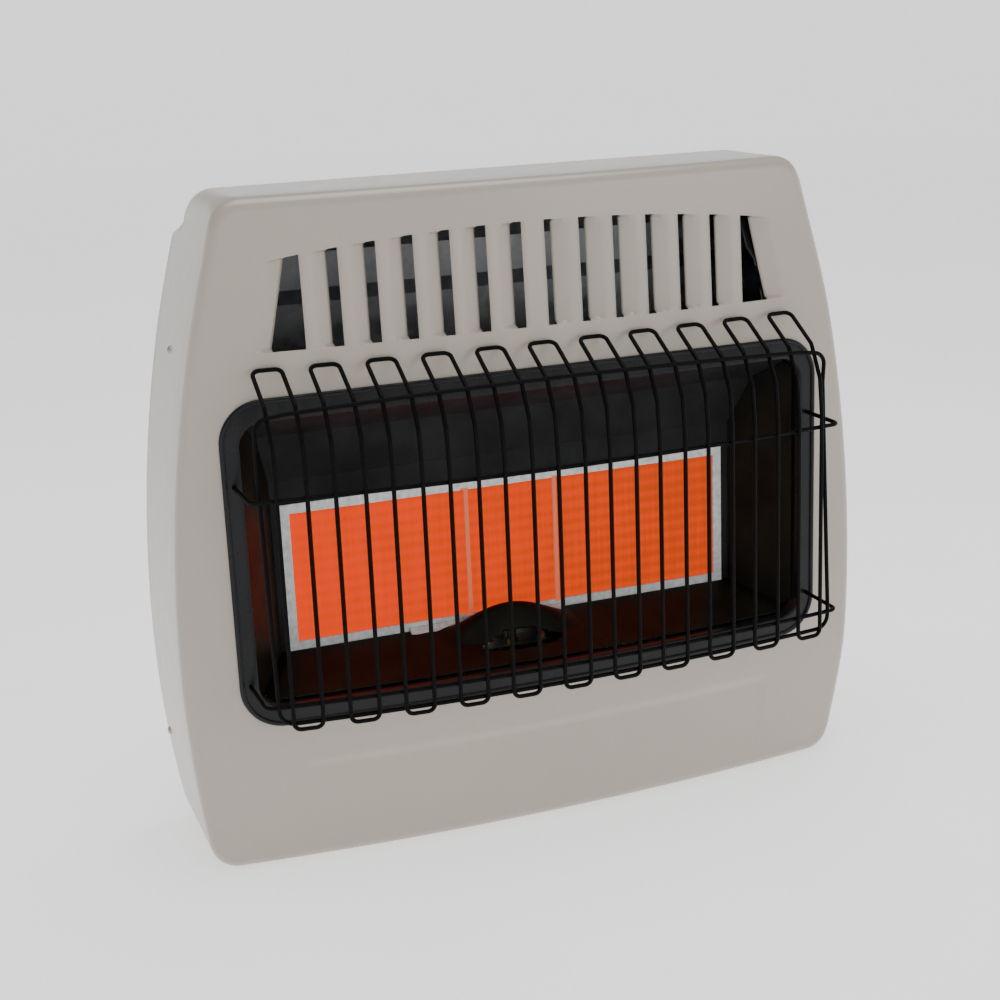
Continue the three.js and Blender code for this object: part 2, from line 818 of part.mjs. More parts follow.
/** The black frame round the window, with a beaded edge and a lip turned into the firebox. */
function makeBezel() {
  const outer = frameLoop(bezelOuter);
  const inner = frameLoop(bezelInner);
  const rings = outer.map((o, i) => {
    const n = inner[i];
    const wide = Math.hypot(n.x - o.x, n.z - o.z);
    const spot = (from, proud) => {
      const t = from / wide;
      const [x, z] = [o.x + t * (n.x - o.x), o.z + t * (n.z - o.z)];
      return v(x, faceY(x, z) - proud, z);
    };
    return [
      spot(0, touch), spot(0, bezelProud * 0.7), spot(bezelBead * 0.3, bezelProud + 0.8),
      spot(bezelBead * 0.8, bezelProud + 1), spot(bezelBead * 1.4, bezelProud * 0.75),
      spot(wide - 2.4, bezelProud * 0.75), spot(wide - 0.7, bezelProud * 0.4), spot(wide, -1),
      spot(wide, -lipDepth), spot(wide - lipSheet, -lipDepth), spot(wide - lipSheet, touch),
    ];
  });
  return loft(rings, true).subtract(hookHoles());
}

/** The four holes that take the hooks of the guard. */
function hookHoles() {
  const holes = [];
  [rodHigh, rodLow].forEach((z) => [1, -1].forEach((side) => {
    const radius = wire + hookClear;
    holes.push(bar('y', { x: side * hookX, z }, -caseDepth - 6, hookEnd + 8, radius, radius, 12));
  }));
  return joinAll(holes);
}

/** The window opening of the lip, to trim what stands inside it. */
function windowPrism() {
  return prism(frameLoop(grown(bezelInner, -edgeGap)), -reach, 0);
}

/** Front corners of the firebox sheets, inside the lip. */
function mouth(high) {
  const x = bezelInner.half - edgeGap - thinSheet;
  const z = high ? bezelInner.top - edgeGap - 1.3 : bezelInner.bottom + edgeGap + 1.3;
  return v(x, faceY(x, 0) + lipRun, z);
}

/** Rear corners of the firebox sheets, at the burner frame. */
function root(high) {
  const cover = high ? 0 : gasketSheet;
  return v(hearthHalf, plaqueFace - edgeGap - cover, high ? creaseZ + 0.3 : frameFoot);
}

/** Rows of the sheets from the plaques to the lip. */
const splayRows = [0, bendAt, (1 + bendAt) / 2, 1];

/** The upper corner of the firebox, which climbs steeply to a bend and then runs forward. */
function topEdge(t) {
  const [start, end] = [root(true), mouth(true)];
  const beyond = (t - bendAt) / (1 - bendAt);
  const share = t < bendAt ? (t / bendAt) * bendRise : bendRise + beyond * (1 - bendRise);
  const spot = start.clone().lerp(end, t);
  spot.z = THREE.MathUtils.lerp(start.z, end.z, share);
  return spot;
}

/** The bent sheet above the plaques. */
function makeDeflector() {
  const rows = splayRows.map((t) => {
    const end = topEdge(t);
    const xs = [-end.x - thinSheet, ...bowStations, end.x + thinSheet];
    return xs.map((x) => {
      const rise = bezelInner.rise * Math.max(1 - (x / mouth(true).x) ** 2, 0);
      const front = faceY(x, 0) + lipRun;
      return v(x, THREE.MathUtils.lerp(plaqueFace - edgeGap, front, t), end.z + rise * t);
    });
  });
  return skin(rows, thinSheet, true).intersect(windowPrism());
}

/** A side reflector between the deflector and the hearth. */
function makeReflector(side) {
  const rows = splayRows.map((t) => {
    const head = topEdge(t);
    const foot = root(false).lerp(mouth(false), t);
    head.z -= headGap;
    foot.z += edgeGap;
    return [0, 0.5, 1].map((s) => {
      const spot = foot.clone().lerp(head, s);
      return v(side * spot.x, spot.y, spot.z);
    });
  });
  return skin(rows, thinSheet, side > 0).intersect(windowPrism());
}

/** Height of the hump pressed over the pilot. */
function hump(x, y) {
  const across = Math.max(1 - ((x - humpAt) / humpHalf) ** 2, 0);
  const along = Math.max(1 - ((y - humpDeep) / humpSpan) ** 2, 0);
  return humpHigh * across ** 1.5 * along ** 1.2;
}

/** The dark hearth sheet below the plaques, with the hump and the opening of the pilot. */
function makeHearth() {
  const steps = 12;
  const rows = [];
  for (let s = 0; s <= steps; s += 1) {
    const t = s / steps;
    const end = root(false).lerp(mouth(false), t);
    const xs = [-end.x - thinSheet, ...bowStations];
    for (let x = humpAt - humpHalf; x <= humpAt + humpHalf + 1; x += humpHalf / 6) xs.push(x);
    xs.push(end.x + thinSheet);
    xs.sort((a, b) => a - b);
    rows.push(xs.map((x) => {
      const front = faceY(x, 0) + lipRun;
      const y = THREE.MathUtils.lerp(root(false).y, front, t);
      return v(x, y, end.z + hump(x, y));
    }));
  }
  const { x, y, halfX, halfY } = pilotHole;
  const round = bar('z', { x: 0, y: 0, z: 0 }, frameFoot - 34, frameFoot + 17, 1, 1, 24);
  const hole = round.scale([halfX, halfY, 1]);
  return skin(rows, thinSheet).intersect(windowPrism()).subtract(hole.translate([x, y, 0]));
}

// ---------------------------------------------------------------- burners
const sideCentre = (sideInner + sideOuter) / 2;
const trays = [
  { name: 'left', x: -sideCentre, half: (sideOuter - sideInner) / 2 },
  { name: 'centre', x: 0, half: midHalf },
  { name: 'right', x: sideCentre, half: (sideOuter - sideInner) / 2 },
];

/** A pressed burner box, open to the front, with the inlet of its mixing tube below. */
function makeTray({ x, half }) {
  const back = trayBack;
  const body = block(x - half, x + half, plaqueFace + traySeam, back, trayFoot, trayHead);
  const hollow = block(
    x - half + trayWall, x + half - trayWall, plaqueFace - 1, back - trayWall,
    trayFoot + trayWall, trayHead - trayWall,
  );
  const inlet = bar('z', { x, y: trainY }, trayFoot - 1, trayFoot + 2, mixerEnd + mixerWall + 0.3);
  return body.subtract(hollow).subtract(inlet);
}

/** The five ceramic plaques, one in the middle tray and two in each of the others. */
function plaqueCentres() {
  const inner = sideInner + trayWall + trayFit + plaqueWide / 2;
  const outer = inner + plaqueWide + plaqueSeam;
  return [-outer, -inner, 0, inner, outer];
}

/** One plaque, with a shallow rebate round its face. */
function makePlaque(x) {
  const half = plaqueWide / 2;
  const head = plaqueFoot + plaqueTall;
  const body = block(x - half, x + half, plaqueFace + 1, plaqueFace + plaqueThick, plaqueFoot, head);
  const rim = 1.2;
  const low = plaqueFoot + rim;
  return body.add(block(x - half + rim, x + half - rim, plaqueFace + 0.1, plaqueFace + 2, low, head - rim));
}

/** The white fibre frame that holds the plaques, with a bar over each seam of the trays. */
function makeGasket() {
  const [y0, y1] = [plaqueFace - gasketSheet, plaqueFace - touch];
  let body = block(-gasketHalf, gasketHalf, y0, y1, gasketFoot, gasketHead);
  const bar0 = midHalf + traySeam / 2;
  const gaps = [
    [-glowHalf, -bar0 - seamBar / 2],
    [-bar0 + seamBar / 2, bar0 - seamBar / 2],
    [bar0 + seamBar / 2, glowHalf],
  ];
  gaps.forEach(([x0, x1]) => { body = body.subtract(block(x0, x1, y0 - 1, y1 + 1, glowFoot, glowHead)); });
  return body;
}

/** The plate that carries the three burner boxes. */
function makeFrame() {
  const [y0, y1] = [plaqueFace, plaqueFace + sheet];
  let body = block(-frameHalf, frameHalf, y0, y1, frameFoot, creaseZ);
  trays.forEach(({ x, half }) => {
    const [w0, w1] = [x - half - traySeam / 2, x + half + traySeam / 2];
    body = body.subtract(block(w0, w1, y0 - 1, y1 + 1, trayFoot - traySeam, trayHead + traySeam));
  });
  return body;
}

/** A folded support from the back panel to the burner frame. */
function makeSupport(side) {
  const near = plaqueFace + sheet + touch;
  const far = -sheet - touch;
  const [foot, head] = [frameFoot + 4, creaseZ - 4];
  const x = side * (frameHalf - 4);
  const web = side * sheet;
  const flange = side * 12;
  const strip = (a, b, y0, y1) => block(Math.min(a, b), Math.max(a, b), y0, y1, foot, head);
  let body = strip(x, x - web, near, far);
  body = body.add(strip(x, x - web - flange * 0.35, near, near + sheet));
  body = body.add(strip(x, x + flange, far - sheet, far));
  [foot + 35, head - 35].forEach((z) => {
    body = body.subtract(bar('x', { y: (near + far) / 2, z }, -reach, reach, 14));
  });
  return body;
}

/** A mixing tube: bell mouth, throat and flared outlet with a flange under its tray. */
function makeMixer({ x }) {
  const w = mixerWall;
  const seat = trayFoot - 0.1;
  const profile = [
    [mixerMouth, mixerMouthZ], [mixerMouth * 0.75, mixerMouthZ + 10], [mixerThroat, mixerThroatZ],
    [mixerThroat + 3, mixerFlareZ], [mixerEnd, seat], [mixerEnd, mixerEndZ],
    [mixerEnd + w, mixerEndZ], [mixerEnd + w, seat], [mixerFlange, seat], [mixerFlange, seat - w],
    [mixerEnd + w, seat - w - 1], [mixerThroat + 3 + w, mixerFlareZ], [mixerThroat + w, mixerThroatZ],
    [mixerMouth * 0.75 + w, mixerMouthZ + 10 - w],
    [mixerMouth + w, mixerMouthZ], [mixerMouth, mixerMouthZ],
  ];
  return turned(profile, { x, y: trainY });
}

// ---------------------------------------------------------------- gas train
/** The gas rail with a boss under each mixing tube. */
function makeRail() {
  const at = { y: trainY, z: railZ };
  let body = bar('x', at, railLeft, valveLeft, railRadius);
  trays.forEach(({ x }) => { body = body.add(bar('z', { x, y: trainY }, railZ, bossTop, bossRadius)); });
  body = body.add(bar('x', at, valveLeft - 9, valveLeft, railRadius + 3, railRadius + 3, 6));
  body = body.add(bar('x', at, railLeft - 2, railLeft + 6, railRadius + 2, railRadius + 2, 6));
  body = body.subtract(bar('x', at, railLeft + 8, valveLeft + 1, railBore));
  trays.forEach(({ x }) => {
    body = body.subtract(bar('z', { x, y: trainY }, railZ, bossTop + 1, railBore / 2, railBore / 2, 12));
  });
  return body;
}

/** A brass jet: hexagon, cone and a fine bore. */
function makeJet({ x }) {
  const at = { x, y: trainY };
  const hexTop = bossTop + jetHigh;
  const hex = bar('z', at, bossTop, hexTop, jetHex, jetHex, 6);
  const body = hex.add(bar('z', at, hexTop, jetTip, jetShank, jetPoint, 12));
  return body.subtract(bar('z', at, bossTop - 1, jetTip + 1, jetBore, jetBore, 8));
}

/** The die cast control valve with the boss of its stem. */
function makeValve() {
  const at = { y: trainY, z: knobZ };
  const foot = { x: (valveLeft + valveNarrow) / 2, y: trainY };
  let body = block(valveLeft, valveRight, valveFront, valveBack, valveWaist, valveTop);
  body = body.add(block(valveLeft, valveNarrow, valveFront + 8, valveBack - 6, valveFoot, valveWaist));
  body = body.add(bar('x', at, valveRight - 4, stemBossEnd, stemBoss));
  body = body.add(bar('x', at, valveRight - 4, valveRight + bonnetLong, bonnetHex, bonnetHex, 6));
  body = body.add(bar('z', foot, valveFoot - fittingLong, valveFoot + 4, footHex, footHex, 6));
  [valveLeft + fittingInset, valveRight - fittingInset].forEach((x) => {
    const at = { x, z: fittingZ };
    body = body.add(bar('y', at, valveFront - fittingLong, valveFront + 4, fittingHex, fittingHex, 6));
  });
  [valveLeft + capInset, valveRight - capInset].forEach((x) => {
    [valveTop - capInset, valveWaist + capInset].forEach((z) => {
      body = body.add(bar('y', { x, z }, valveFront - capHigh, valveFront + 2, capScrew, capScrew, 10));
    });
  });
  return body.subtract(bar('x', at, stemBoreEnd, stemBossEnd + 1, stemRadius + stemPlay));
}

/** The bracket that holds the valve off the back panel. */
function makeValveBracket() {
  const [y0, y1] = [valveBack + touch, -sheet - touch];
  const [z0, z1] = [valveWaist + 4, valveTop - 4];
  const [x0, x1] = [valveLeft + 2, valveRight - 2];
  let body = block(x0, x1, y0, y0 + sheet, z0, z1);
  body = body.add(block(x0, x1, y1 - sheet, y1, z0, z1));
  [x0, x1 - sheet].forEach((x) => { body = body.add(block(x, x + sheet, y0, y1, z0, z1)); });
  return body;
}

/** The pressure regulator: two clamped dishes, a spring tower and the ports at its sides. */
function makeRegulator() {
  const z = regulatorZ;
  const at = { x: regulatorX, y: trainY };
  let body = bar('z', at, z - dishHalf, z + dishHalf, dishRadius - 8, dishRadius - 4, 28);
  body = body.add(bar('z', at, z - clampHalf, z + clampHalf, dishRadius, dishRadius, 28));
  body = body.add(bar('z', at, z + dishHalf - 2, z + towerHigh, towerRadius, towerRadius - 1, 20));
  body = body.add(bar('x', { y: trainY, z }, regulatorX + portFrom, valveLeft + 4, portRadius));
  const port = bar('x', { y: trainY, z }, regulatorX - portTo, regulatorX - portFrom, portHex, portHex, 6);
  return body.add(port);
}

/** The elbow between the regulator and the valve foot. */
function makeValveElbow() {
  const z = regulatorZ;
  const h = elbowHalf;
  const x = (valveLeft + valveNarrow) / 2;
  const body = block(valveLeft + 4 + touch, x + h, trainY - h, trainY + h, z - h, z + h - 2);
  return body.add(bar('z', { x, y: trainY }, z, valveFoot - fittingLong - touch, elbowPipe));
}

/** The inlet elbow, which turns down to the supply at the base. */
function makeInlet() {
  const z = regulatorZ;
  const end = regulatorX - portTo - touch;
  const at = { x: end - inletDrop, y: trainY };
  const low = inletLift - caseHalf;
  const path = [v(end, trainY, z), v(at.x, trainY, z), v(at.x, trainY, low)];
  let body = rod(rounded(path, inletBend, 5), inletPipe, 20);
  body = body.add(bar('z', at, low, low + inletNutHigh, inletNut, inletNut, 6));
  return body.subtract(bar('z', at, -caseHalf, low + inletNutHigh + 3, inletBore));
}

// ---------------------------------------------------------------- pilot
/** The bracket of the pilot, fixed behind the lower edge of the burner frame. */
function makePilotBracket() {
  const near = plaqueFace + sheet + touch;
  const shelf = (y0, z0, z1) => block(shelfLeft, shelfRight, y0, near + sheet, z0, z1);
  let body = shelf(pilotY - shelfReach, shelfTop - sheet, shelfTop);
  body = body.add(shelf(near, shelfTop - sheet, trayFoot - 1));
  [[sparkX, sleeveNeck], [pilotX, pilotRadius], [probeX, probeRadius]].forEach(([x, r]) => {
    body = body.subtract(bar('z', { x, y: pilotY }, shelfTop - 3, shelfTop + 1, r + 0.1));
  });
  return body;
}

/** The pilot burner: body, collar and a hood with two ports. */
function makePilot() {
  const at = { x: pilotX, y: pilotY };
  const neck = shelfTop + pilotHigh;
  let body = bar('z', at, shelfTop - stubLong, neck, pilotRadius);
  body = body.add(bar('z', at, shelfTop, shelfTop + 4, pilotHex, pilotHex, 6));
  body = body.add(bar('z', at, neck, neck + hoodHigh, pilotHood, pilotHood, 20));
  [-1, 1].forEach((way) => {
    const [x0, x1] = [pilotX + Math.min(way, 0) * 8, pilotX + Math.max(way, 0) * 8];
    body = body.subtract(block(x0, x1, pilotY - hoodPort, pilotY + hoodPort, neck + 1, neck + 3.5));
  });
  return body.subtract(bar('z', at, shelfTop - stubLong - 1, neck + 2, pilotBore, pilotBore, 10));
}

/** The spark electrode: a ceramic sleeve with a bent wire. */
function makeSpark() {
  const at = { x: sparkX, y: pilotY };
  const sleeve = bar('z', at, shelfTop - 10, shelfTop + sleeveHigh, sleeveRadius, sleeveRadius, 16);
  const collar = bar('z', at, shelfTop, shelfTop + 3, sleeveCollar, sleeveCollar, 16);
  const neck = bar('z', at, shelfTop - 3, shelfTop + 1, sleeveNeck, sleeveNeck, 16);
  const tip = rod(rounded([
    v(sparkX, pilotY, shelfTop + 10), v(sparkX, pilotY, shelfTop + 21),
    v(pilotX - 9, pilotY, shelfTop + 19),
  ], 3), sparkWire);
  return joinAll([sleeve, collar.add(neck), tip]);
}

/** The thermocouple with its lead, clamped along the rail side up to the valve. */
function makeThermocouple() {
  const at = { x: probeX, y: pilotY };
  const r = probeRadius;
  const end = { x: valveRight - fittingInset, z: fittingZ };
  const mouthY = valveFront - fittingLong - touch;
  const probe = joinAll([
    bar('z', at, shelfTop - stubLong, shelfTop + probeHigh, r, r, 16),
    bar('z', at, shelfTop + probeHigh - 0.1, shelfTop + probeHigh + 4, r, probeTip, 16),
    bar('z', at, shelfTop, shelfTop + 3, probeNut, probeNut, 6),
  ]);
  const lead = rod(rounded([
    v(probeX, pilotY, shelfTop - 6), v(probeX, pilotY, shelfTop - 30), v(end.x, pilotY, shelfTop - 30),
    v(end.x, pilotY, end.z), v(end.x, mouthY, end.z),
  ], 6, 4), probeLead);
  return joinAll([probe, lead, bar('y', end, valveFront - 13, mouthY, 4, 4, 6)]);
}

/** The aluminium pilot tube from the valve to the pilot burner. */
function makePilotTube() {
  const start = shelfTop - stubLong - touch;
  const end = { x: valveLeft + fittingInset, z: fittingZ };
  const mouthY = valveFront - fittingLong - touch;
  const tube = rod(rounded([
    v(pilotX, pilotY, start), v(pilotX, pilotY, tubeLevel), v(pilotX + 16, tubeFront, tubeLevel),
    v(end.x, tubeFront, tubeLevel), v(end.x, valveFront - 20, end.z), v(end.x, mouthY, end.z),
  ], 4, 4), tubeRadius);
  const nut = bar('y', end, valveFront - 14, mouthY, tubeNut, tubeNut, 6);
  const low = bar('z', { x: pilotX, y: pilotY }, start - 6, start, tubeEnd, tubeEnd, 6);
  return joinAll([tube, nut, low]);
}

/** The ignition lead from the piezo unit to the electrode. */
function makeIgnitionLead() {
  const turn = igniterInner - 14;
  return rod(rounded([
    v(igniterInner - touch, trainY, igniterZ), v(turn, trainY, igniterZ),
    v(turn, trainY - 16, leadLevel), v(turn - 46, leadFront, leadLevel),
    v(sparkX + 16, leadFront, leadLevel),
    v(sparkX, pilotY, leadLevel - 4), v(sparkX, pilotY, shelfTop - 10 - touch),
  ], 4, 4), leadRadius);
}

// ---------------------------------------------------------------- controls
/** The valve stem, which reaches through the side of the case into the knob. */
function makeStem() {
  const at = { y: trainY, z: knobZ };
  return bar('x', at, stemInner, knobBase + knobSkirt, stemRadius);
}

/** The collar that bears on the return spring of the stem. */
function makeCollar() {
  const at = { y: trainY, z: knobZ };
  const body = bar('x', at, collarAt, collarAt + collarThick, collarRadius);
  return body.subtract(bar('x', at, collarAt - 1, collarAt + collarThick + 1, stemRadius + stemPlay));
}

/** The control knob: a fluted skirt with a raised grip and a blind bore. */
function makeKnob() {
  const at = { y: trainY, z: knobZ };
  const plan = [];
  const count = knobFlutes * 4;
  for (let i = 0; i < count; i += 1) {
    const angle = (2 * Math.PI * i) / count;
    const r = knobRadius - 0.5 + 0.5 * Math.cos(knobFlutes * angle);
    plan.push([trainY + r * Math.cos(angle), knobZ + r * Math.sin(angle)]);
  }
  let body = drawnOut(plan, knobBase, knobBase + knobSkirt);
  const step = knobBase + knobSkirt;
  body = body.add(bar('x', at, step - 0.01, step + 2, knobRadius - 2, knobRadius - 4));
  const grip = block(step, step + knobGripHigh, trainY - knobGripWide / 2, trainY + knobGripWide / 2,
    knobZ - knobRadius + 3, knobZ + knobRadius - 3);
  const cone = bar('x', at, step - 1, step + knobGripHigh + 1, knobRadius, knobRadius - 5);
  body = body.add(grip.intersect(cone));
  return body.subtract(bar('x', at, knobBase - 1, step + touch, stemRadius + stemPlay));
}

/** The piezo unit, held in the side wall by its ring. */
function makeIgniter() {
  const at = { y: trainY, z: igniterZ };
  const wall = wallFrame(igniterZ).x;
  const inside = wall - sheet - 2 * touch;
  let body = bar('x', at, igniterInner, inside, igniterRadius);
  body = body.add(bar('x', at, inside - 1, wall + 1, igniterNeck));
  body = body.add(bar('x', at, wall + 2 * touch, igniterRingEnd, igniterRing, igniterRing - 1.5));
  return body.subtract(bar('x', at, buttonInner - 7, igniterRingEnd + 1, buttonRadius + buttonPlay));
}

/** The igniter button. */
function makeButton() {
  const at = { y: trainY, z: igniterZ };
  return bar('x', at, buttonInner, buttonTip - 1, buttonRadius).add(
    bar('x', at, buttonTip - 1, buttonTip, buttonRadius, buttonRadius - 1),
  );
}

// ---------------------------------------------------------------- wire guard
/** Depth of the bowed front of the guard. */
function guardY(x) {
  return guardFront + guardBow * (x / guardSpan) ** 2;
}

/** Depth of the sloping shoulder of the guard, from the front down to just off the case. */
function shoulderY(x, z) {
  const t = (z - guardShoulder) / (guardHead - guardShoulder);
  return THREE.MathUtils.lerp(guardY(x), faceY(x, guardHead) - headClear, t);
}

/** One half of a guard ring, from the middle of its foot to the middle of its head. */
function halfRing(centre, way) {
  const x = centre + way * legHalf;
  const y = guardY(x);
  const over = centre - way * weld;
  return rod(rounded([
    v(over, guardY(over), guardFoot), v(x, y, guardFoot), v(x, y, guardShoulder),
    v(x, shoulderY(x, guardHead), guardHead), v(over, shoulderY(over, guardHead), guardHead),
  ], guardBend, 2), wire, wireSides);
}

/** The rim of the guard: arched over the shoulders, down the sides and behind the feet. */
function rimPath() {
  const slope = (x, z) => shoulderY(x, z) - wire * 0.9;
  const side = rimHalf;
  const xs = bowStations.filter((x) => Math.abs(x) < side - rimBend * 2);
  const top = xs.map((x) => {
    const z = rimTop + rimRise * (1 - (x / side) ** 2);
    return v(x, slope(x, z), z);
  });
  const foot = [...xs].reverse().map((x) => v(x, guardY(x) + 2 * wire - weld, rimFoot));
  const cornerY = guardY(side) + 2 * wire - weld;
  return [
    v(0, foot[7].y, rimFoot), ...foot.slice(7), v(-side, cornerY, rimFoot),
    v(-side, rimSide, rimFoot + 24), v(-side, slope(side, rimTop), rimTop),
    ...top, v(side, slope(side, rimTop), rimTop), v(side, rimSide, rimFoot + 24),
    v(side, cornerY, rimFoot), ...foot.slice(0, 7), v(-weld, foot[7].y, rimFoot),
  ];
}

/** A level rod behind the legs, with ends bent back into the bezel. */
function levelRod(z) {
  const y = (x) => guardY(x) + 2 * wire - weld;
  return rod(rounded([
    v(-hookX, hookEnd, z), v(-hookX, y(hookX), z), ...bowStations.map((x) => v(x, y(x), z)),
    v(hookX, y(hookX), z), v(hookX, hookEnd, z),
  ], hookBend, 2), wire, wireSides);
}

/** The guard, welded from rings, a rim and two rods. */
function makeGuard() {
  const wires = [];
  for (let i = 0; i < ringCount; i += 1) {
    const centre = (i - (ringCount - 1) / 2) * ringPitch;
    wires.push(halfRing(centre, 1), halfRing(centre, -1));
  }
  const rim = rounded(rimPath(), rimBend, 2);
  wires.push(rod(rim, wire, wireSides), levelRod(rodHigh), levelRod(rodLow));
  return joinAll(wires);
}

// ---------------------------------------------------------------- back, base and fixings
/** The folded back panel with its recess for the bracket and flanges along the sides. */
function makeBack() {
  const path = [
    [0, -caseHalf + 3 * sheet], [0, recessFoot], [-recessDeep, recessFoot + recessRamp],
    [-recessDeep, recessHead - recessRamp], [0, recessHead], [0, notchLow - 2],
    [-notchDepth, notchHigh - 2], [-notchDepth, caseHalf - sheet - panelFit],
  ];
  const fit = sheet + panelFit;
  const full = bentSheet(path, sheet, -reach, reach);
  const rim = prism(outline(fit), -sideFlange, 0).subtract(prism(outline(fit + sheet), -sideFlange - 1, 1));
  const sides = rim.intersect(block(-reach, reach, -reach, 1, -caseHalf + 3 * sheet, recessFoot - 10));
  let body = full.intersect(prism(outline(fit), -reach, 1)).add(sides);
  [-1, 1].forEach((side) => {
    const x = side * bracketHook;
    body = body.subtract(block(x - slotHalf, x + slotHalf, -recessDeep - 2 * sheet, -recessDeep + 1,
      hookTongue - 14, hookTongue + tongueSheet));
    body = body.subtract(screwBore(lowerScrew, side));
  });
  return body;
}


/** The bracket on the wall, with two tongues that carry the case. */
function makeWallBracket() {
  const plate = block(-150, 150, -tongueSheet, 0, recessFoot + 14, recessHead - 14);
  let body = plate;
  const deep = -recessDeep - sheet - 1 - tongueSheet;
  [-1, 1].forEach((side) => {
    const x = side * bracketHook;
    const [x0, x1] = [x - tongueHalf, x + tongueHalf];
    body = body.add(block(x0, x1, deep, -0.5, hookTongue, hookTongue + tongueSheet - touch));
    body = body.add(block(x0, x1, deep, deep + tongueSheet, hookTongue, hookTongue + 10));
  });
  [-75, 0, 75].forEach((x) => {
    body = body.subtract(bar('y', { x, z: recessFoot + 28 }, -5, 1, 3));
  });
  return body;
}

/** The base panel with two rows of air slots and the hole for the supply. */
function makeBase() {
  const z = -caseHalf + sheet + touch;
  let body = block(-baseHalf, baseHalf, -baseDeep, -6, z, z + thinSheet);
  const slots = 14;
  for (let i = 0; i < slots; i += 1) {
    const x = (i - (slots - 1) / 2) * 38;
    [-116, -84].forEach((y) => {
      body = body.subtract(block(x - 12, x + 12, y - 3, y + 3, z - 1, z + 2));
    });
  }
  const inletX = regulatorX - 34 - touch - 12;
  return body.subtract(bar('z', { x: inletX, y: trainY }, z - 1, z + 2, 12.5));
}

/** The heat shield behind the louvres. */
function makeBaffle() {
  const far = -sheet - touch;
  const path = [
    [far, recessHead + 12], [far, recessHead + 36],
    [-baffleReach, caseHalf - 16], [-baffleReach, caseHalf - 29],
  ];
  const half = halfWidth(caseHalf) - 20;
  return bentSheet(path, thinSheet, -half, half);
}

/** The bracket that takes the upper screw of a side wall. */
function makeSideBracket(side) {
  const { x, lean } = wallFrame(upperScrew.z);
  const fit = (sheet + 2 * touch) / Math.cos(lean);
  const far = -recessDeep - sheet - touch;
  const [z0, z1] = [upperScrew.z - 12, upperScrew.z + 14];
  const at = (z) => x - fit - (z - upperScrew.z) * Math.tan(lean);
  const ring = (y) => [v(side * at(z0), y, z0), v(side * at(z1), y, z1),
    v(side * (at(z1) - sheet), y, z1), v(side * (at(z0) - sheet), y, z0)];
  let body = loft([ring(upperScrew.y - 10), ring(far)]);
  const foot = [v(side * at(z0), 0, z0), v(side * at(z1), 0, z1),
    v(side * (at(z1) - 16), 0, z1), v(side * (at(z0) - 16), 0, z0)];
  body = body.add(prism(foot, far - sheet, far));
  return body.subtract(screwBore(upperScrew, side));
}

/** The clearance bore of a side screw, square to the side wall. */
function screwBore(screw, side) {
  const radius = screwShank + screwFit;
  return placedOnWall(screw, side, bar('x', {}, -screwLong - 1, 3, radius, radius, 12));
}

/** A side screw with a domed head. */
function makeScrew(screw, side) {
  const head = bar('x', {}, touch, 1.4, screwHead, screwHead - 0.4, 16).add(
    bar('x', {}, 1.4, 2.4, screwHead - 0.4, screwHead - 2, 16),
  );
  const slot = block(1.5, 4, -0.6, 0.6, -2.4, 2.4).add(block(1.5, 4, -2.4, 2.4, -0.6, 0.6));
  const body = head.subtract(slot).add(bar('x', {}, -screwLong, 1, screwShank, screwShank, 12));
  return placedOnWall(screw, side, body);
}

/** Sets a solid drawn along +X square on the side wall. */
function placedOnWall({ y, z }, side, solid) {
  const { x, lean } = wallFrame(z);
  const degrees = (-lean * 180) / Math.PI;
  const right = solid.rotate([0, degrees, 0]).translate([x, y, z]);
  return side > 0 ? right : right.mirror([1, 0, 0]);
}

// ---------------------------------------------------------------- assembly
const heater = new THREE.Group();
heater.name = 'gas_heater';
const place = (name, material, solid) => heater.add(piece(name, material, solid));

place('front_cover', paint, makeCover());
place('bezel', gloss, makeBezel());
place('back_panel', zinc, makeBack());
place('wall_bracket', zinc, makeWallBracket());
place('base_panel', zinc, makeBase());
place('heat_baffle', zinc, makeBaffle());
place('top_deflector', gloss, makeDeflector());
place('reflector_left', enamel, makeReflector(-1));
place('reflector_right', enamel, makeReflector(1));
place('bottom_reflector', enamel, makeHearth());
place('burner_frame', gloss, makeFrame());
place('plaque_gasket', fibre, makeGasket());
place('burner_support_left', zinc, makeSupport(-1));
place('burner_support_right', zinc, makeSupport(1));
place('side_bracket_left', zinc, makeSideBracket(-1));
place('side_bracket_right', zinc, makeSideBracket(1));
trays.forEach((tray) => {
  place(`burner_box_${tray.name}`, steel, makeTray(tray));
  place(`mixing_tube_${tray.name}`, steel, makeMixer(tray));
  place(`injector_${tray.name}`, brass, makeJet(tray));
});
plaqueCentres().forEach((x, i) => place(`plaque_${i + 1}`, clay, makePlaque(x)));
place('gas_rail', steel, makeRail());
place('gas_valve', dieCast, makeValve());
place('valve_bracket', zinc, makeValveBracket());
place('pressure_regulator', dieCast, makeRegulator());
place('valve_elbow', brass, makeValveElbow());
place('inlet_elbow', brass, makeInlet());
place('pilot_bracket', steel, makePilotBracket());
place('pilot_burner', brass, makePilot());
place('spark_electrode', ceramic, makeSpark());
place('thermocouple', copper, makeThermocouple());
place('pilot_tube', dieCast, makePilotTube());
place('ignition_lead', rubber, makeIgnitionLead());
place('piezo_igniter', plastic, makeIgniter());
place('igniter_button', plastic, makeButton());
place('valve_stem', steel, makeStem());
place('stem_collar', steel, makeCollar());
place('control_knob', plastic, makeKnob());
place('screw_upper_left', steel, makeScrew(upperScrew, -1));
place('screw_upper_right', steel, makeScrew(upperScrew, 1));
place('screw_lower_left', steel, makeScrew(lowerScrew, -1));
place('screw_lower_right', steel, makeScrew(lowerScrew, 1));
place('wire_guard', guardBlack, makeGuard());

export default heater;
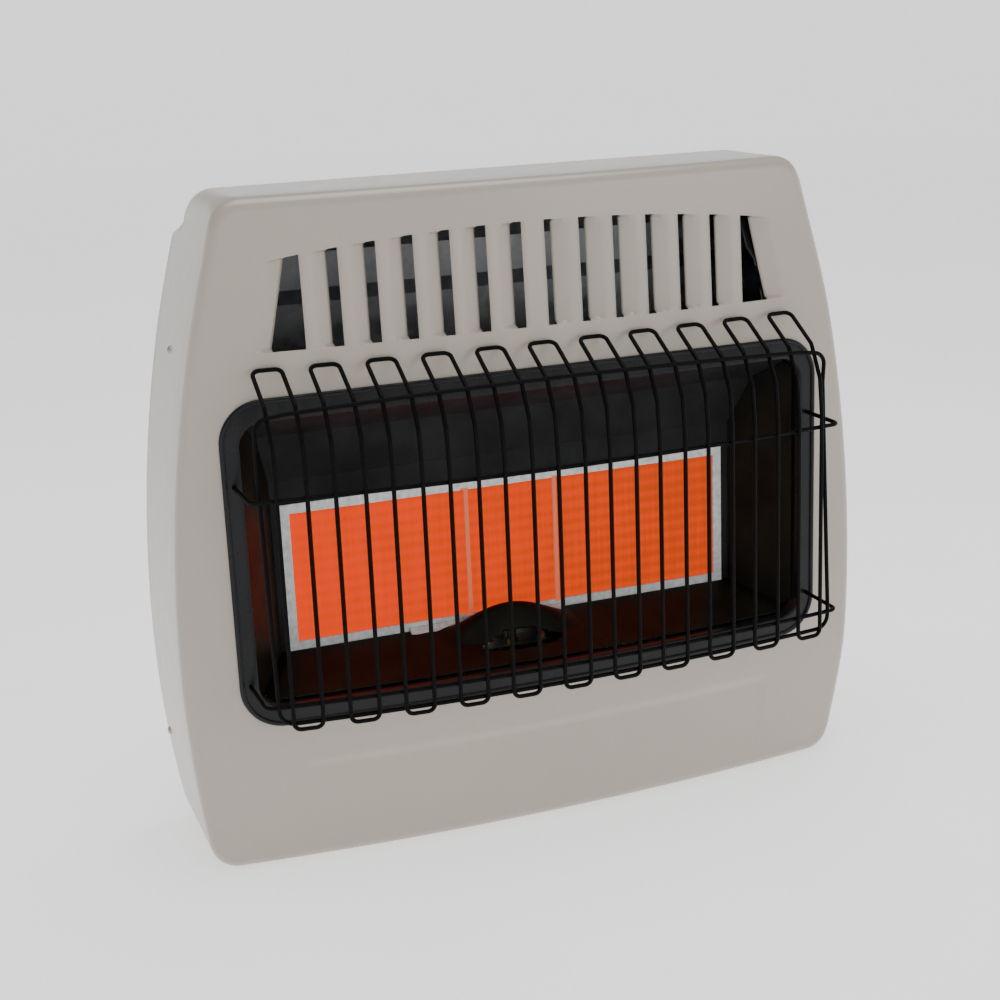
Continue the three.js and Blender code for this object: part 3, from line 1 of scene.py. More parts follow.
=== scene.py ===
"""Dresses the wall mounted gas heater: case, bezel, guard, hearth, glowing plaques and finishes.

Lengths are metres in the frame of the solids: the wall face is y = 0, the front faces -Y.
"""

import json
import math

import bmesh
import bpy
import numpy as np
from bpy.props import FloatProperty, FloatVectorProperty, IntProperty, PointerProperty
from mathutils import Matrix, Vector


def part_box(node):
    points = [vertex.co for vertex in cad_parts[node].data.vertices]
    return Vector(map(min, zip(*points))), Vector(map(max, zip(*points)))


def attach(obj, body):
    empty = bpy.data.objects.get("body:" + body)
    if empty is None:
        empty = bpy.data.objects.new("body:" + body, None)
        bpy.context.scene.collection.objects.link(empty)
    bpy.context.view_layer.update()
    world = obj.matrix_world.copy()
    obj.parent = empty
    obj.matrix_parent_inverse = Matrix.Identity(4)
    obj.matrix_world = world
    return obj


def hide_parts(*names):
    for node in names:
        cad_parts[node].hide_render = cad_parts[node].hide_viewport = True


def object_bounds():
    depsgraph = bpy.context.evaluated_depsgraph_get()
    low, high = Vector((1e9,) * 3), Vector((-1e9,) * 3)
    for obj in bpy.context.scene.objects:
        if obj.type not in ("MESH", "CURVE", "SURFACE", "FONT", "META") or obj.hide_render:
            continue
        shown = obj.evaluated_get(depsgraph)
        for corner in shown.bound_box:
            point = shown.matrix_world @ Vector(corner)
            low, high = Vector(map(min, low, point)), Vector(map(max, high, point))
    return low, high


bl_info = {
    "name": "Wall Gas Heater",
    "version": (1, 0, 0),
    "blender": (4, 5, 0),
    "location": "View3D > Sidebar > Heater",
    "description": "Builds the visible surfaces and finishes of a wall mounted gas heater",
    "category": "Add Mesh",
}

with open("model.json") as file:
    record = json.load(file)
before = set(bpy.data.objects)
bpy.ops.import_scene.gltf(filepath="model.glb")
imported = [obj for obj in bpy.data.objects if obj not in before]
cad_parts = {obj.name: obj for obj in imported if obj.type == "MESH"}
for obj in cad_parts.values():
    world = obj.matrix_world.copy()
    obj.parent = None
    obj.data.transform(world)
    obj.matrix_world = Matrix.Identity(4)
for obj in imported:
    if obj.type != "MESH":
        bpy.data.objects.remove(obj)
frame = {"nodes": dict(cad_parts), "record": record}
CAD_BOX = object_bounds()
MAIN = "heater"


# ------------------------------------------------------------------ settings
def length(name, words, value):
    """A length in metres that a user may change."""
    return FloatProperty(name=name, description=words, default=value, unit="LENGTH", precision=4)


def colour(name, words, value):
    """A linear colour that a user may change."""
    return FloatVectorProperty(
        name=name, description=words, default=value, size=3, min=0.0, max=1.0, subtype="COLOR"
    )


class HeaterCaseSettings(bpy.types.PropertyGroup):
    """Sizes of the sheet metal case."""

    half_height: length("Half height", "Half the height of the case", 0.315)
    depth: length("Depth", "Depth of the case at its middle", 0.178)
    waist: length("Waist", "Half width at the widest height", 0.349)
    bow: length("Bow", "Fall of the front at 300 mm from the middle", 0.018)
    edge: length("Edge radius", "Radius of the front edge", 0.012)
    corner: length("Corner radius", "Radius of the corners in the front view", 0.027)
    press: length("Louvre depth", "Depth of a pressed louvre", 0.0067)
    panel: length("Panel depth", "Depth of the pressed panel below the window", 0.0029)


class HeaterGuardSettings(bpy.types.PropertyGroup):
    """Sizes of the wire guard."""

    wire: length("Wire radius", "Radius of the guard wire", 0.002)
    rings: IntProperty(name="Rings", description="Number of guard rings", default=11, min=3, max=21)
    pitch: length("Pitch", "Distance between rings", 0.0507)
    leg: length("Leg", "Half width of a ring", 0.01307)
    front: length("Front", "Depth of the guard at its middle", 0.247)
    bow: length("Bow", "Fall of the guard at 256 mm from the middle", 0.016)


class HeaterFinishSettings(bpy.types.PropertyGroup):
    """Colours of the finishes, in linear values."""

    paint: colour("Case paint", "Warm grey-beige enamel", (0.372, 0.327, 0.277))
    black: colour("Black gloss", "Bezel and firebox enamel", (0.0075, 0.008, 0.009))
    firebox: colour("Firebox black", "Dulled enamel of the firebox", (0.0125, 0.013, 0.0135))
    guard: colour("Guard black", "Coating of the guard", (0.0016, 0.0016, 0.0018))
    hearth: colour("Hearth enamel", "Dark brown enamel", (0.0078, 0.0072, 0.0048))
    glow: colour("Glow", "Colour of the hot plaques", (0.8, 0.052, 0.002))
    fibre: colour("Fibre", "White gasket", (0.62, 0.64, 0.63))


class HeaterStageSettings(bpy.types.PropertyGroup):
    """Camera and light."""

    floor_gap: length("Floor gap", "Drop from the case to the floor", 0.0015)
    key: FloatProperty(name="Key", description="Power of the key light", default=22.0, min=0.0)
    sky: FloatProperty(name="Sky", description="Strength of the open sky", default=0.46, min=0.0)


# ------------------------------------------------------------------ mesh helpers
def new_piece(name, verts, faces, smooth=0.6, body=MAIN):
    """A named mesh object at the origin that rides on a body, smooth below an angle."""
    mesh = bpy.data.meshes.new(name)
    mesh.from_pydata(np.asarray(verts, dtype=float).tolist(), [], faces)
    mesh.update()
    obj = bpy.data.objects.new(name, mesh)
    bpy.context.scene.collection.objects.link(obj)
    if smooth:
        mesh.shade_smooth()
        mesh.set_sharp_from_angle(angle=smooth)
    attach(obj, body)
    return obj


def grid_faces(rows, cols, wrap_rows=False, wrap_cols=False, flip=False):
    """Quads of a grid of rows x cols points, as whole arrays."""
    r = np.arange(rows if wrap_rows else rows - 1)
    c = np.arange(cols if wrap_cols else cols - 1)
    rr, cc = np.meshgrid(r, c, indexing="ij")
    up, right = (rr + 1) % rows, (cc + 1) % cols
    quads = np.stack([rr * cols + cc, rr * cols + right, up * cols + right, up * cols + cc], -1)
    quads = quads.reshape(-1, 4)
    return quads[:, ::-1] if flip else quads


def clean(obj, distance=1e-5):
    """Merges doubles, drops bare faces and points the faces outwards."""
    work = bmesh.new()
    work.from_mesh(obj.data)
    bmesh.ops.remove_doubles(work, verts=work.verts, dist=distance)
    bmesh.ops.dissolve_degenerate(work, edges=work.edges, dist=1e-7)
    bmesh.ops.recalc_face_normals(work, faces=work.faces)
    work.to_mesh(obj.data)
    work.free()
    return obj


def thicken(obj, thickness, offset=-1.0):
    """Gives a surface its sheet thickness."""
    solid = obj.modifiers.new("sheet", "SOLIDIFY")
    solid.thickness = thickness
    solid.offset = offset
    solid.use_even_offset = True
    return obj


def tube_mesh(path, radius, sides=12, closed=False):
    """Points, quads and end caps of a round tube along a path.

    Each ring stands square to the path, with a frame that turns as little as it can from
    point to point, so the wire doesn't twist.
    """
    path = np.asarray(path, dtype=float)
    ahead = np.roll(path, -1, 0) - path
    if not closed:
        ahead[-1] = ahead[-2]
    ahead /= np.linalg.norm(ahead, axis=1, keepdims=True)
    behind = np.roll(ahead, 1, 0)
    if not closed:
        behind[0] = ahead[0]
    tangent = ahead + behind
    tangent /= np.linalg.norm(tangent, axis=1, keepdims=True)
    side = np.cross(tangent[0], [0.31, 0.77, 0.55])
    side /= np.linalg.norm(side)
    sides_of = [side]
    for t in tangent[1:]:
        side = side - t * np.dot(side, t)
        side = side / np.linalg.norm(side)
        sides_of.append(side)
    across = np.array(sides_of)
    if closed:
        last = across[-1] - tangent[0] * np.dot(across[-1], tangent[0])
        last /= np.linalg.norm(last)
        twist = math.atan2(
            np.dot(np.cross(last, across[0]), tangent[0]), np.dot(last, across[0])
        )
        share = twist * np.arange(len(path)) / len(path)
        up = np.cross(tangent, across)
        across = across * np.cos(share)[:, None] + up * np.sin(share)[:, None]
    up = np.cross(tangent, across)
    angle = 2 * np.pi * np.arange(sides) / sides
    ring = across[:, None] * np.cos(angle)[None, :, None]
    ring = ring + up[:, None] * np.sin(angle)[None, :, None]
    verts = (path[:, None] + radius * ring).reshape(-1, 3)
    quads = grid_faces(len(path), sides, closed, True)
    caps = np.zeros((0, sides), dtype=int)
    if not closed:
        caps = np.stack([np.arange(sides)[::-1], np.arange(len(verts) - sides, len(verts))])
    return verts, quads, caps


def join_meshes(parts):
    """One array of points and one list of faces from several tubes."""
    starts = np.cumsum([0] + [len(verts) for verts, _, _ in parts])
    verts = np.concatenate([verts for verts, _, _ in parts])
    faces = []
    for start, (_, quads, caps) in zip(starts, parts):
        faces += (quads + start).tolist() + (caps + start).tolist()
    return verts, faces


def rounded_path(points, radius, steps=6, closed=False):
    """Replaces each corner of a path by an arc of a radius."""
    points = [np.asarray(p, dtype=float) for p in points]
    out = []
    count = len(points)
    for i, here in enumerate(points):
        if not closed and i in (0, count - 1):
            out.append(here)
            continue
        into = here - points[i - 1]
        onward = points[(i + 1) % count] - here
        into, onward = into / np.linalg.norm(into), onward / np.linalg.norm(onward)
        turn = math.acos(float(np.clip(np.dot(into, onward), -1, 1)))
        if turn < 0.05:
            out.append(here)
            continue
        inward = onward - into * np.dot(into, onward)
        inward /= np.linalg.norm(inward)
        start = here - into * radius * math.tan(turn / 2)
        for s in range(steps + 1):
            a = turn * s / steps
            out.append(start + into * radius * math.sin(a) + inward * radius * (1 - math.cos(a)))
    return np.array(out)


# ------------------------------------------------------------------ form of the case
SHEET = 0.0011
BOW_AT = 0.3
# The front leans back over a run, by a depth.
LEAN_TOP = (0.155, 0.009)
LEAN_LOW = (0.125, 0.017)
WAIST_Z = -0.11
TAPER_UP, TAPER_DOWN = 0.37, 0.46
# Half width, foot and head of the window, and half width, front and back of the open base.
WINDOW = (0.2835, -0.152, 0.127)
BASE_HOLE = (0.288, -0.118, -0.016)
NOTCH_LOW, NOTCH_HIGH, NOTCH_RAMP, NOTCH_DEEP = 0.272, 0.284, 0.012, 0.042
WALL_LEVELS = (-0.118, -0.085, -0.05, -0.016, 0.0)

LOUVRES = 7
LOUVRE_FIRST, LOUVRE_PITCH = 0.011, 0.0341
LOUVRE_GAP, LOUVRE_BLADE = 0.0085, 0.0155
LOUVRE_FOOT, LOUVRE_HEAD, LOUVRE_MEAN_HEAD = 0.181, 0.2768, 0.262
LOUVRE_DROP, LOUVRE_DROP_AT, LOUVRE_REACH = 0.013, 0.215, 0.262
# Widths of the slanted end louvre at its foot and its head.
END_GAP = (0.0294, 0.0117)
END_BLADE = (0.0204, 0.0193)

PANEL_TOP, PANEL_RUN = -0.206, 0.0115
PANEL_FOOT, PANEL_FADE = -0.298, 0.079
PANEL_HALF, PANEL_END = 0.245, 0.009

LOW_ROWS = (
    -0.2, -0.19, -0.175, -0.165, -0.152, -0.12, -0.08, -0.04, 0.0, 0.04, 0.08, 0.11, 0.127,
    0.14, 0.15, 0.158, 0.165, 0.172, 0.177, 0.1795,
)


def soft_ramp(t, soft=0.1):
    """A ramp that starts at 0 and reaches 1, with a soft start."""
    return (t + np.sqrt(t * t + soft * soft)) / 2 * (2 / (1 + math.sqrt(1 + soft * soft)))


def face_y(case, x, z):
    """Depth of the case front: a parabola across x, leaning back at the top and the bottom."""
    top_run, top_back = LEAN_TOP
    low_run, low_back = LEAN_LOW
    top = soft_ramp((z - case.half_height + top_run) / top_run)
    low = soft_ramp((low_run - case.half_height - z) / low_run)
    return -case.depth + case.bow * (x / BOW_AT) ** 2 + top_back * top + low_back * low


def half_width(case, z):
    """Half width of the case, a parabola about the waist with a fuller lower half."""
    drop = np.where(z > WAIST_Z, TAPER_UP, TAPER_DOWN)
    return case.waist - drop * (z - WAIST_Z) ** 2


def inner_outline(case, z):
    """Half width of the flat front at a height: the outline less the front edge radius."""
    edge = case.edge
    wide = half_width(case, z) - edge
    for way in (1, -1):
        cz = way * (case.half_height - case.corner)
        slope = -2 * (TAPER_UP if way > 0 else TAPER_DOWN) * (cz - WAIST_Z)
        lean = math.atan(-slope)
        end = cz + case.corner * math.sin(lean)
        cx = float(half_width(case, np.float64(end))) - case.corner * math.cos(lean)
        r = case.corner - edge
        beyond = way * z > way * (cz + r * math.sin(lean))
        arc = cx + np.sqrt(np.maximum(r * r - (z - cz) ** 2, 0))
        wide = np.where(beyond, arc, wide)
    return wide


def louvre_top(x):
    """Height of the arched heads of the louvres."""
    out = np.minimum(np.abs(x), LOUVRE_REACH) / LOUVRE_DROP_AT
    return LOUVRE_HEAD - LOUVRE_DROP * out ** 2


def front_columns(case, z, zone):
    """x of each grid column in a row, with the two slanted columns of the end louvre.

    zone is 0 below the louvres, 1 above them and runs between along their height.
    """
    keys = [np.zeros_like(z)]
    marks = [0]
    steps = ((0, 2), (LOUVRE_GAP, 3), (LOUVRE_GAP + LOUVRE_BLADE, 7))
    for k in range(LOUVRES - 1):
        start = LOUVRE_FIRST + LOUVRE_PITCH * k
        for on, parts in steps:
            keys.append(np.full_like(z, start + on))
            marks.append(parts)
    last = LOUVRE_FIRST + LOUVRE_PITCH * (LOUVRES - 1)
    gap = END_GAP[0] + (END_GAP[1] - END_GAP[0]) * zone
    blade = END_BLADE[0] + (END_BLADE[1] - END_BLADE[0]) * zone
    keys += [np.full_like(z, last), last + gap, last + gap + blade, inner_outline(case, z)]
    marks += [2, 5, 7, 12]
    columns = [keys[0]]
    for i in range(1, len(keys)):
        for s in range(1, marks[i] + 1):
            columns.append(keys[i - 1] + (keys[i] - keys[i - 1]) * s / marks[i])
    half = np.stack(columns, 1)
    edges = np.cumsum([0] + marks[1:])
    return np.concatenate([-half[:, :0:-1], half], 1), edges, half.shape[1]


def front_rows(case):
    """Row heights of the front as (base z, share of the louvre height, part above the louvres)."""
    h = case.half_height - case.edge
    r = case.corner - case.edge
    arc = r * np.sin(np.linspace(0, np.pi / 2, 7))
    low = -h + r - arc[::-1]
    plain = np.concatenate([
        low, np.linspace(-0.286, -0.221, 12), np.linspace(-0.219, -0.205, 8), LOW_ROWS
    ])
    share = np.concatenate([[0, 0.012, 0.03], np.linspace(0.08, 0.93, 12), [0.97, 0.988, 1.0]])
    crowd = 0.66 + 0.34 * np.sin(np.linspace(0.1, np.pi / 2, 8))
    above = np.concatenate([[0.03, 0.08, 0.16, 0.28, 0.42, 0.56], crowd])
    return plain, share, above


def smooth(t):
    """A share held between 0 and 1, with soft ends."""
    t = np.clip(t, 0, 1)
    return t * t * (3 - 2 * t)


def case_front(case):
    """Points and faces of the front of the case.

    The front is a grid of rows and columns that follow the louvres: z runs to the arched
    louvre heads and on to the top edge, x to the bulging outline. Its depth is face_y plus the
    pressed louvres and the panel.
    """
    plain, share, above = front_rows(case)
    h = case.half_height - case.edge
    base = np.concatenate([plain, np.full(len(share) + len(above), LOUVRE_FOOT)])
    zone = np.concatenate([np.zeros(len(plain)), share, np.ones(len(above))])
    lift = np.concatenate([np.zeros(len(plain) + len(share)), above])
    mean = LOUVRE_MEAN_HEAD
    guess_z = np.where(lift > 0, mean + (h - mean) * lift, base + (mean - LOUVRE_FOOT) * zone)
    x, edges, half_count = front_columns(case, guess_z, zone)
    head = louvre_top(x)
    z = base[:, None] + (head - LOUVRE_FOOT) * zone[:, None] + (h - head) * lift[:, None]
    y = face_y(case, x, z)

    centre = half_count - 1
    rows, cols = x.shape
    louvre_rows = np.arange(len(plain), len(plain) + len(share))
    depth = np.zeros_like(x)
    holes = np.zeros((rows - 1, cols - 1), bool)
    fade = np.clip(np.minimum(share, 1 - share) / 0.03, 0, 1)
    for k in range(LOUVRES):
        i0, i1, i2 = edges[1 + 3 * k], edges[2 + 3 * k], edges[3 + 3 * k]
        for way in (1, -1):
            c = centre + way * np.arange(i1, i2 + 1)
            fall = 1 - np.arange(i2 - i1 + 1) / (i2 - i1)
            depth[np.ix_(louvre_rows, c)] = case.press * fade[:, None] * fall[None, :]
            span = np.arange(i0, i1)
            cells = centre + span if way > 0 else centre - span - 1
            holes[np.ix_(louvre_rows[:-1], cells)] = True
    y = y + depth

    step = smooth((PANEL_TOP - z) / PANEL_RUN)
    fade_low = np.clip((z - PANEL_FOOT) / PANEL_FADE, 0, 1)
    ends = smooth((PANEL_HALF - np.abs(x)) / PANEL_END)
    y = y + case.panel * step * fade_low * ends

    zc = (z[:-1, :-1] + z[1:, 1:]) / 2
    xc = np.abs((x[:-1, :-1] + x[1:, 1:]) / 2)
    half, low, high = WINDOW
    holes |= (zc > low) & (zc < high) & (xc < half)
    quads = grid_faces(rows, cols).reshape(rows - 1, cols - 1, 4)[~holes]
    verts = np.stack([x, y, z], -1).reshape(-1, 3)
    return verts, quads, x, y, z


def case_border(case, x, y, z):
    """The turned front edge and the walls, as rings that leave the border of the front grid.

    The border is carried round the edge as a quarter circle and straight back to the wall,
    less the notch at the top rear.
    """
    rows, cols = x.shape
    bottom = [(0, c) for c in range(cols)]
    right = [(r, cols - 1) for r in range(1, rows)]
    top = [(rows - 1, c) for c in range(cols - 2, -1, -1)]
    left = [(r, 0) for r in range(rows - 2, 0, -1)]
    order = np.array(bottom + right + top + left)
    bx, by, bz = (a[order[:, 0], order[:, 1]] for a in (x, y, z))
    ahead = np.stack([np.roll(bx, -1) - np.roll(bx, 1), np.roll(bz, -1) - np.roll(bz, 1)], -1)
    normal = np.stack([ahead[:, 1], -ahead[:, 0]], -1)
    normal /= np.linalg.norm(normal, axis=1, keepdims=True)
    flat = (np.abs(np.abs(bz) - (case.half_height - case.edge)) < 1e-6) & (np.abs(bx) < 0.25)
    normal[flat] = np.stack([np.zeros(flat.sum()), np.sign(bz[flat])], -1)
    rings = []
    for a in np.linspace(0, np.pi / 2, 9):
        out = case.edge * math.sin(a)
        rings.append(np.stack([
            bx + normal[:, 0] * out, by + case.edge * (1 - math.cos(a)), bz + normal[:, 1] * out
        ], -1))
    end = rings[-1]
    notch = np.clip((end[:, 2] - NOTCH_LOW) / NOTCH_RAMP, 0, 1)
    back = np.where(end[:, 2] > NOTCH_HIGH, -NOTCH_DEEP, -NOTCH_DEEP * notch)
    for level in WALL_LEVELS:
        y_here = np.minimum(np.maximum(level, end[:, 1]), back)
        rings.append(np.stack([end[:, 0], y_here, end[:, 2]], -1))
    return np.stack(rings)


def make_case(case):
    """The whole skin of the case, with its sheet thickness."""
    verts, quads, x, y, z = case_front(case)
    rings = case_border(case, x, y, z)
    levels, count = rings.shape[:2]
    skirt = grid_faces(levels, count, False, True, True).reshape(levels - 1, count, 4)
    mid = (rings[:-1] + rings[1:]) / 2
    mid = (mid + np.roll(mid, -1, 1)) / 2
    half, front, back = BASE_HOLE
    under = (mid[..., 2] < 0.0005 - case.half_height) & (np.abs(mid[..., 0]) < half)
    skirt = skirt[~(under & (mid[..., 1] > front) & (mid[..., 1] < back))]
    points = np.concatenate([verts, rings.reshape(-1, 3)])
    faces = np.concatenate([quads, skirt + len(verts)]).tolist()
    obj = new_piece("case_skin", points, faces, smooth=0)
    clean(obj, 2e-5)
    obj.data.shade_smooth()
    obj.data.set_sharp_from_angle(angle=0.5)
    # The inner faces take the second finish, dark firebox enamel: a darker inside that also paints
    # the shade seen through the louvres
    thicken(obj, SHEET).modifiers["sheet"].material_offset = 1
    return obj


# ------------------------------------------------------------------ bezel
# Half width, foot, head, rise of the arch and corner radius of each frame.
BEZEL_OUTER = (0.299, -0.1676, 0.141, 0.003, 0.040)
BEZEL_INNER = (0.281, -0.148, 0.120, 0.003, 0.022)


def frame_outline(half, bottom, top, rise, radius, count=40):
    """Points of a rounded frame with an arched top, the same number on every frame.

    Straight runs have count points each and each corner a quarter circle of 14 steps.
    """
    inner = half - radius
    run = np.linspace(-inner, inner, count)
    side = np.linspace(0, 1, 12)[1:-1]
    arc = np.linspace(0, np.pi / 2, 15)
    parts = [np.stack([run, np.full(count, bottom)], -1)[:-1]]
    low, high = bottom + radius, top - radius
    for cx, cz, start, straight in (
        (inner, low, -np.pi / 2, (half, low, high)), (inner, high, 0.0, None),
        (-inner, high, np.pi / 2, (-half, high, low)), (-inner, low, np.pi, None),
    ):
        a = start + arc
        parts.append(np.stack([cx + radius * np.cos(a), cz + radius * np.sin(a)], -1))
        if straight:
            sx, z0, z1 = straight
            parts.append(np.stack([np.full(len(side), sx), z0 + (z1 - z0) * side], -1))
        if cz == high and cx > 0:
            arch = top + rise * (1 - (run[::-1] / inner) ** 2)
            parts.append(np.stack([run[::-1], arch], -1)[1:-1])
    return np.concatenate(parts)[:-1]


def bezel_profile():
    """The profile as (place, proud) pairs: bead and flange from the outer edge, then the lip.

    The places of the second list count back from the inner edge.
    """
    edge = [(0.0, -0.00005), (0.0, 0.0008)]
    for a in np.linspace(0, np.pi, 9):
        edge.append((0.0023 * (1 - math.cos(a)), 0.0012 + 0.0022 * math.sin(a)))
    edge += [(0.0056, 0.0012), (0.009, 0.0015)]
    lip = [(-0.006, 0.0017), (-0.0035, 0.0019)]
    for a in np.linspace(0, np.pi / 2, 6):
        lip.append((-0.0026 + 0.0026 * math.sin(a), -0.0007 + 0.0026 * math.cos(a)))
    lip += [(0.0, -0.006), (0.0, -0.014), (-0.001, -0.014), (-0.001, -0.006), (-0.001, -0.0005)]
    return edge, lip


def make_bezel(case):
    """The window frame: a profile of bead, flange and lip carried round the opening.

    Each station joins a point of the outer frame to its partner on the inner frame. The
    profile gives, along that line, how far it stands proud of the case front.
    """
    outer, inner = frame_outline(*BEZEL_OUTER), frame_outline(*BEZEL_INNER)
    wide = np.linalg.norm(inner - outer, axis=1, keepdims=True)
    edge, lip = bezel_profile()
    marks = [(0 + place / wide, proud) for place, proud in edge]
    marks += [(1 + place / wide, proud) for place, proud in lip]
    rings = []
    for share, proud in marks:
        spot = outer + (inner - outer) * share
        y = face_y(case, spot[:, 0], spot[:, 1]) - proud
        rings.append(np.stack([spot[:, 0], y, spot[:, 1]], -1))
    rings = np.stack(rings, 1)
    count, ring = rings.shape[:2]
    faces = grid_faces(count, ring, True, True).tolist()
    obj = new_piece("window_bezel", rings.reshape(-1, 3), faces, smooth=0)
    clean(obj)
    obj.data.shade_smooth()
    obj.data.set_sharp_from_angle(angle=0.9)
    return obj


# ------------------------------------------------------------------ wire guard
GUARD_BOW_AT = 0.256
GUARD_FOOT = -0.146
GUARD_LIFT = 0.0042
# Heights of the bends of a shoulder, and how far back the first three of them lie.
SHOULDER_Z = (0.076, 0.112, 0.1425, 0.167)
SHOULDER_BACK = (0.0, 0.0042, 0.0205)
RING_BEND, RIM_BEND, HOOK_BEND = 0.0065, 0.013, 0.009
WIRE_SIDES = 12
WELD = 0.0006
RIM_REST = 0.9
RIM_RUN = 0.25
RIM_SIDE, RIM_FOOT = 0.278, -0.1412
RIM_TOP, RIM_RISE, RIM_CORNER = 0.135, 0.008, 0.133
RIM_NECK_Y, RIM_NECK_Z, RIM_KNEE_Z = -0.2115, 0.105, -0.117
ROD_HEIGHTS = (0.064, -0.125)
ROD_HALF, HOOK_X, HOOK_END = 0.262, 0.289, -0.152


def guard_y(guard, x):
    """Depth of the bowed front of the guard."""
    return -guard.front + guard.bow * (x / GUARD_BOW_AT) ** 2


def shoulder_y(case, guard, x, z):
    """Depth of the bent shoulder: three straight runs from the front to just off the case."""
    off = -case.depth + case.bow * (x / BOW_AT) ** 2 - GUARD_LIFT
    share = np.interp(z, SHOULDER_Z, (0, 1, 2, 3))
    front = guard_y(guard, x)
    levels = [front + back for back in SHOULDER_BACK] + [off]
    y = levels[0] + 0 * share
    for low, high, start in zip(levels, levels[1:], (0, 1, 2)):
        y = y + (high - low) * np.clip(share - start, 0, 1)
    return y


def guard_ring(case, guard, centre):
    """One closed ring: foot, two legs and a bent shoulder that lies on the case."""
    a, b = centre - guard.leg, centre + guard.leg
    corners = [(a, guard_y(guard, a), GUARD_FOOT), (b, guard_y(guard, b), GUARD_FOOT)]
    corners += [(b, float(shoulder_y(case, guard, b, z)), z) for z in SHOULDER_Z]
    corners += [(a, float(shoulder_y(case, guard, a, z)), z) for z in SHOULDER_Z[::-1]]
    path = rounded_path(corners, RING_BEND, 6, True)
    return tube_mesh(path, guard.wire, WIRE_SIDES, True)


def guard_rim(case, guard, back):
    """The rim: arched over the shoulders, down the sides and along behind the feet."""
    run = np.linspace(-RIM_RUN, RIM_RUN, 40)
    over = guard.wire * RIM_REST
    arch_z = RIM_TOP + RIM_RISE * (1 - (run / RIM_SIDE) ** 2)
    arch = np.stack([run, shoulder_y(case, guard, run, arch_z) - over, arch_z], -1)
    low = np.stack([run[::-1], guard_y(guard, run[::-1]) + back, np.full(40, RIM_FOOT)], -1)
    side_y = guard_y(guard, RIM_SIDE) + back
    top_y = float(shoulder_y(case, guard, RIM_SIDE, RIM_CORNER)) - over
    side = [
        (RIM_SIDE, top_y, RIM_CORNER), (RIM_SIDE, RIM_NECK_Y, RIM_NECK_Z),
        (RIM_SIDE, side_y, RIM_KNEE_Z), (RIM_SIDE, side_y, RIM_FOOT),
    ]
    path = [*arch, *side, *low, *[(-x, y, z) for x, y, z in side[::-1]]]
    return tube_mesh(rounded_path(path, RIM_BEND, 6, True), guard.wire, WIRE_SIDES, True)


def guard_rod(guard, back, z):
    """A level rod behind the legs, with ends bent back into the bezel."""
    span = np.linspace(-ROD_HALF, ROD_HALF, 44)
    level = np.stack([span, guard_y(guard, span) + back, np.full(44, z)], -1)
    hook_y = guard_y(guard, HOOK_X) + back
    start = [(-HOOK_X, HOOK_END, z), (-HOOK_X, hook_y, z)]
    end = [(HOOK_X, hook_y, z), (HOOK_X, HOOK_END, z)]
    return tube_mesh(rounded_path([*start, *level, *end], HOOK_BEND, 6), guard.wire, WIRE_SIDES)


def make_guard(case, guard):
    """Rings, rim and level rods of the guard as round wires."""
    centres = (np.arange(guard.rings) - (guard.rings - 1) / 2) * guard.pitch
    wires = [guard_ring(case, guard, centre) for centre in centres]
    back = 2 * guard.wire - WELD
    wires.append(guard_rim(case, guard, back))
    wires += [guard_rod(guard, back, z) for z in ROD_HEIGHTS]
    verts, faces = join_meshes(wires)
    return new_piece("guard_wires", verts, faces)


# ------------------------------------------------------------------ hearth
HEARTH_SHEET = 0.0009
HEARTH_BACK_HALF, HEARTH_BACK_Y, HEARTH_BACK_Z = 0.2431, -0.0874, -0.1266
HEARTH_FRONT_HALF, HEARTH_FRONT_Z, HEARTH_SHORT = 0.2798, -0.1463, 0.011
HEARTH_DEEP, HEARTH_DROP = 0.079, 0.0197
CORNER_FROM, CORNER_RUN, CORNER_IN, CORNER_SHARE = 0.62, 0.38, 0.0105, 0.93
HUMP_X, HUMP_Y, HUMP_HIGH = -0.014, -0.107, 0.025
HUMP_HALF_X, HUMP_HALF_Y = 0.072, 0.0194
HOLE_X, HOLE_Y, HOLE_HALF_X, HOLE_HALF_Y = -0.010, -0.134, 0.043, 0.0115

TAB_SHEET, TAB_BACK, TAB_GAP, TAB_CURL = 0.0006, -0.0876, 0.0012, 0.0035
# Name, left end, right end and reach of each tab.
TABS = (
    ("fibre_tab_left", -0.112, -0.056, 0.006),
    ("fibre_tab_right", 0.027, 0.049, 0.0085),
)


def hearth_rise(x, y):
    """Height of the hump over the pilot: a rounded dome, long across x."""
    across = np.maximum(1 - ((x - HUMP_X) / HUMP_HALF_X) ** 2, 0)
    along = np.maximum(1 - ((y - HUMP_Y) / HUMP_HALF_Y) ** 2, 0)
    return HUMP_HIGH * across ** 1.5 * along ** 1.2


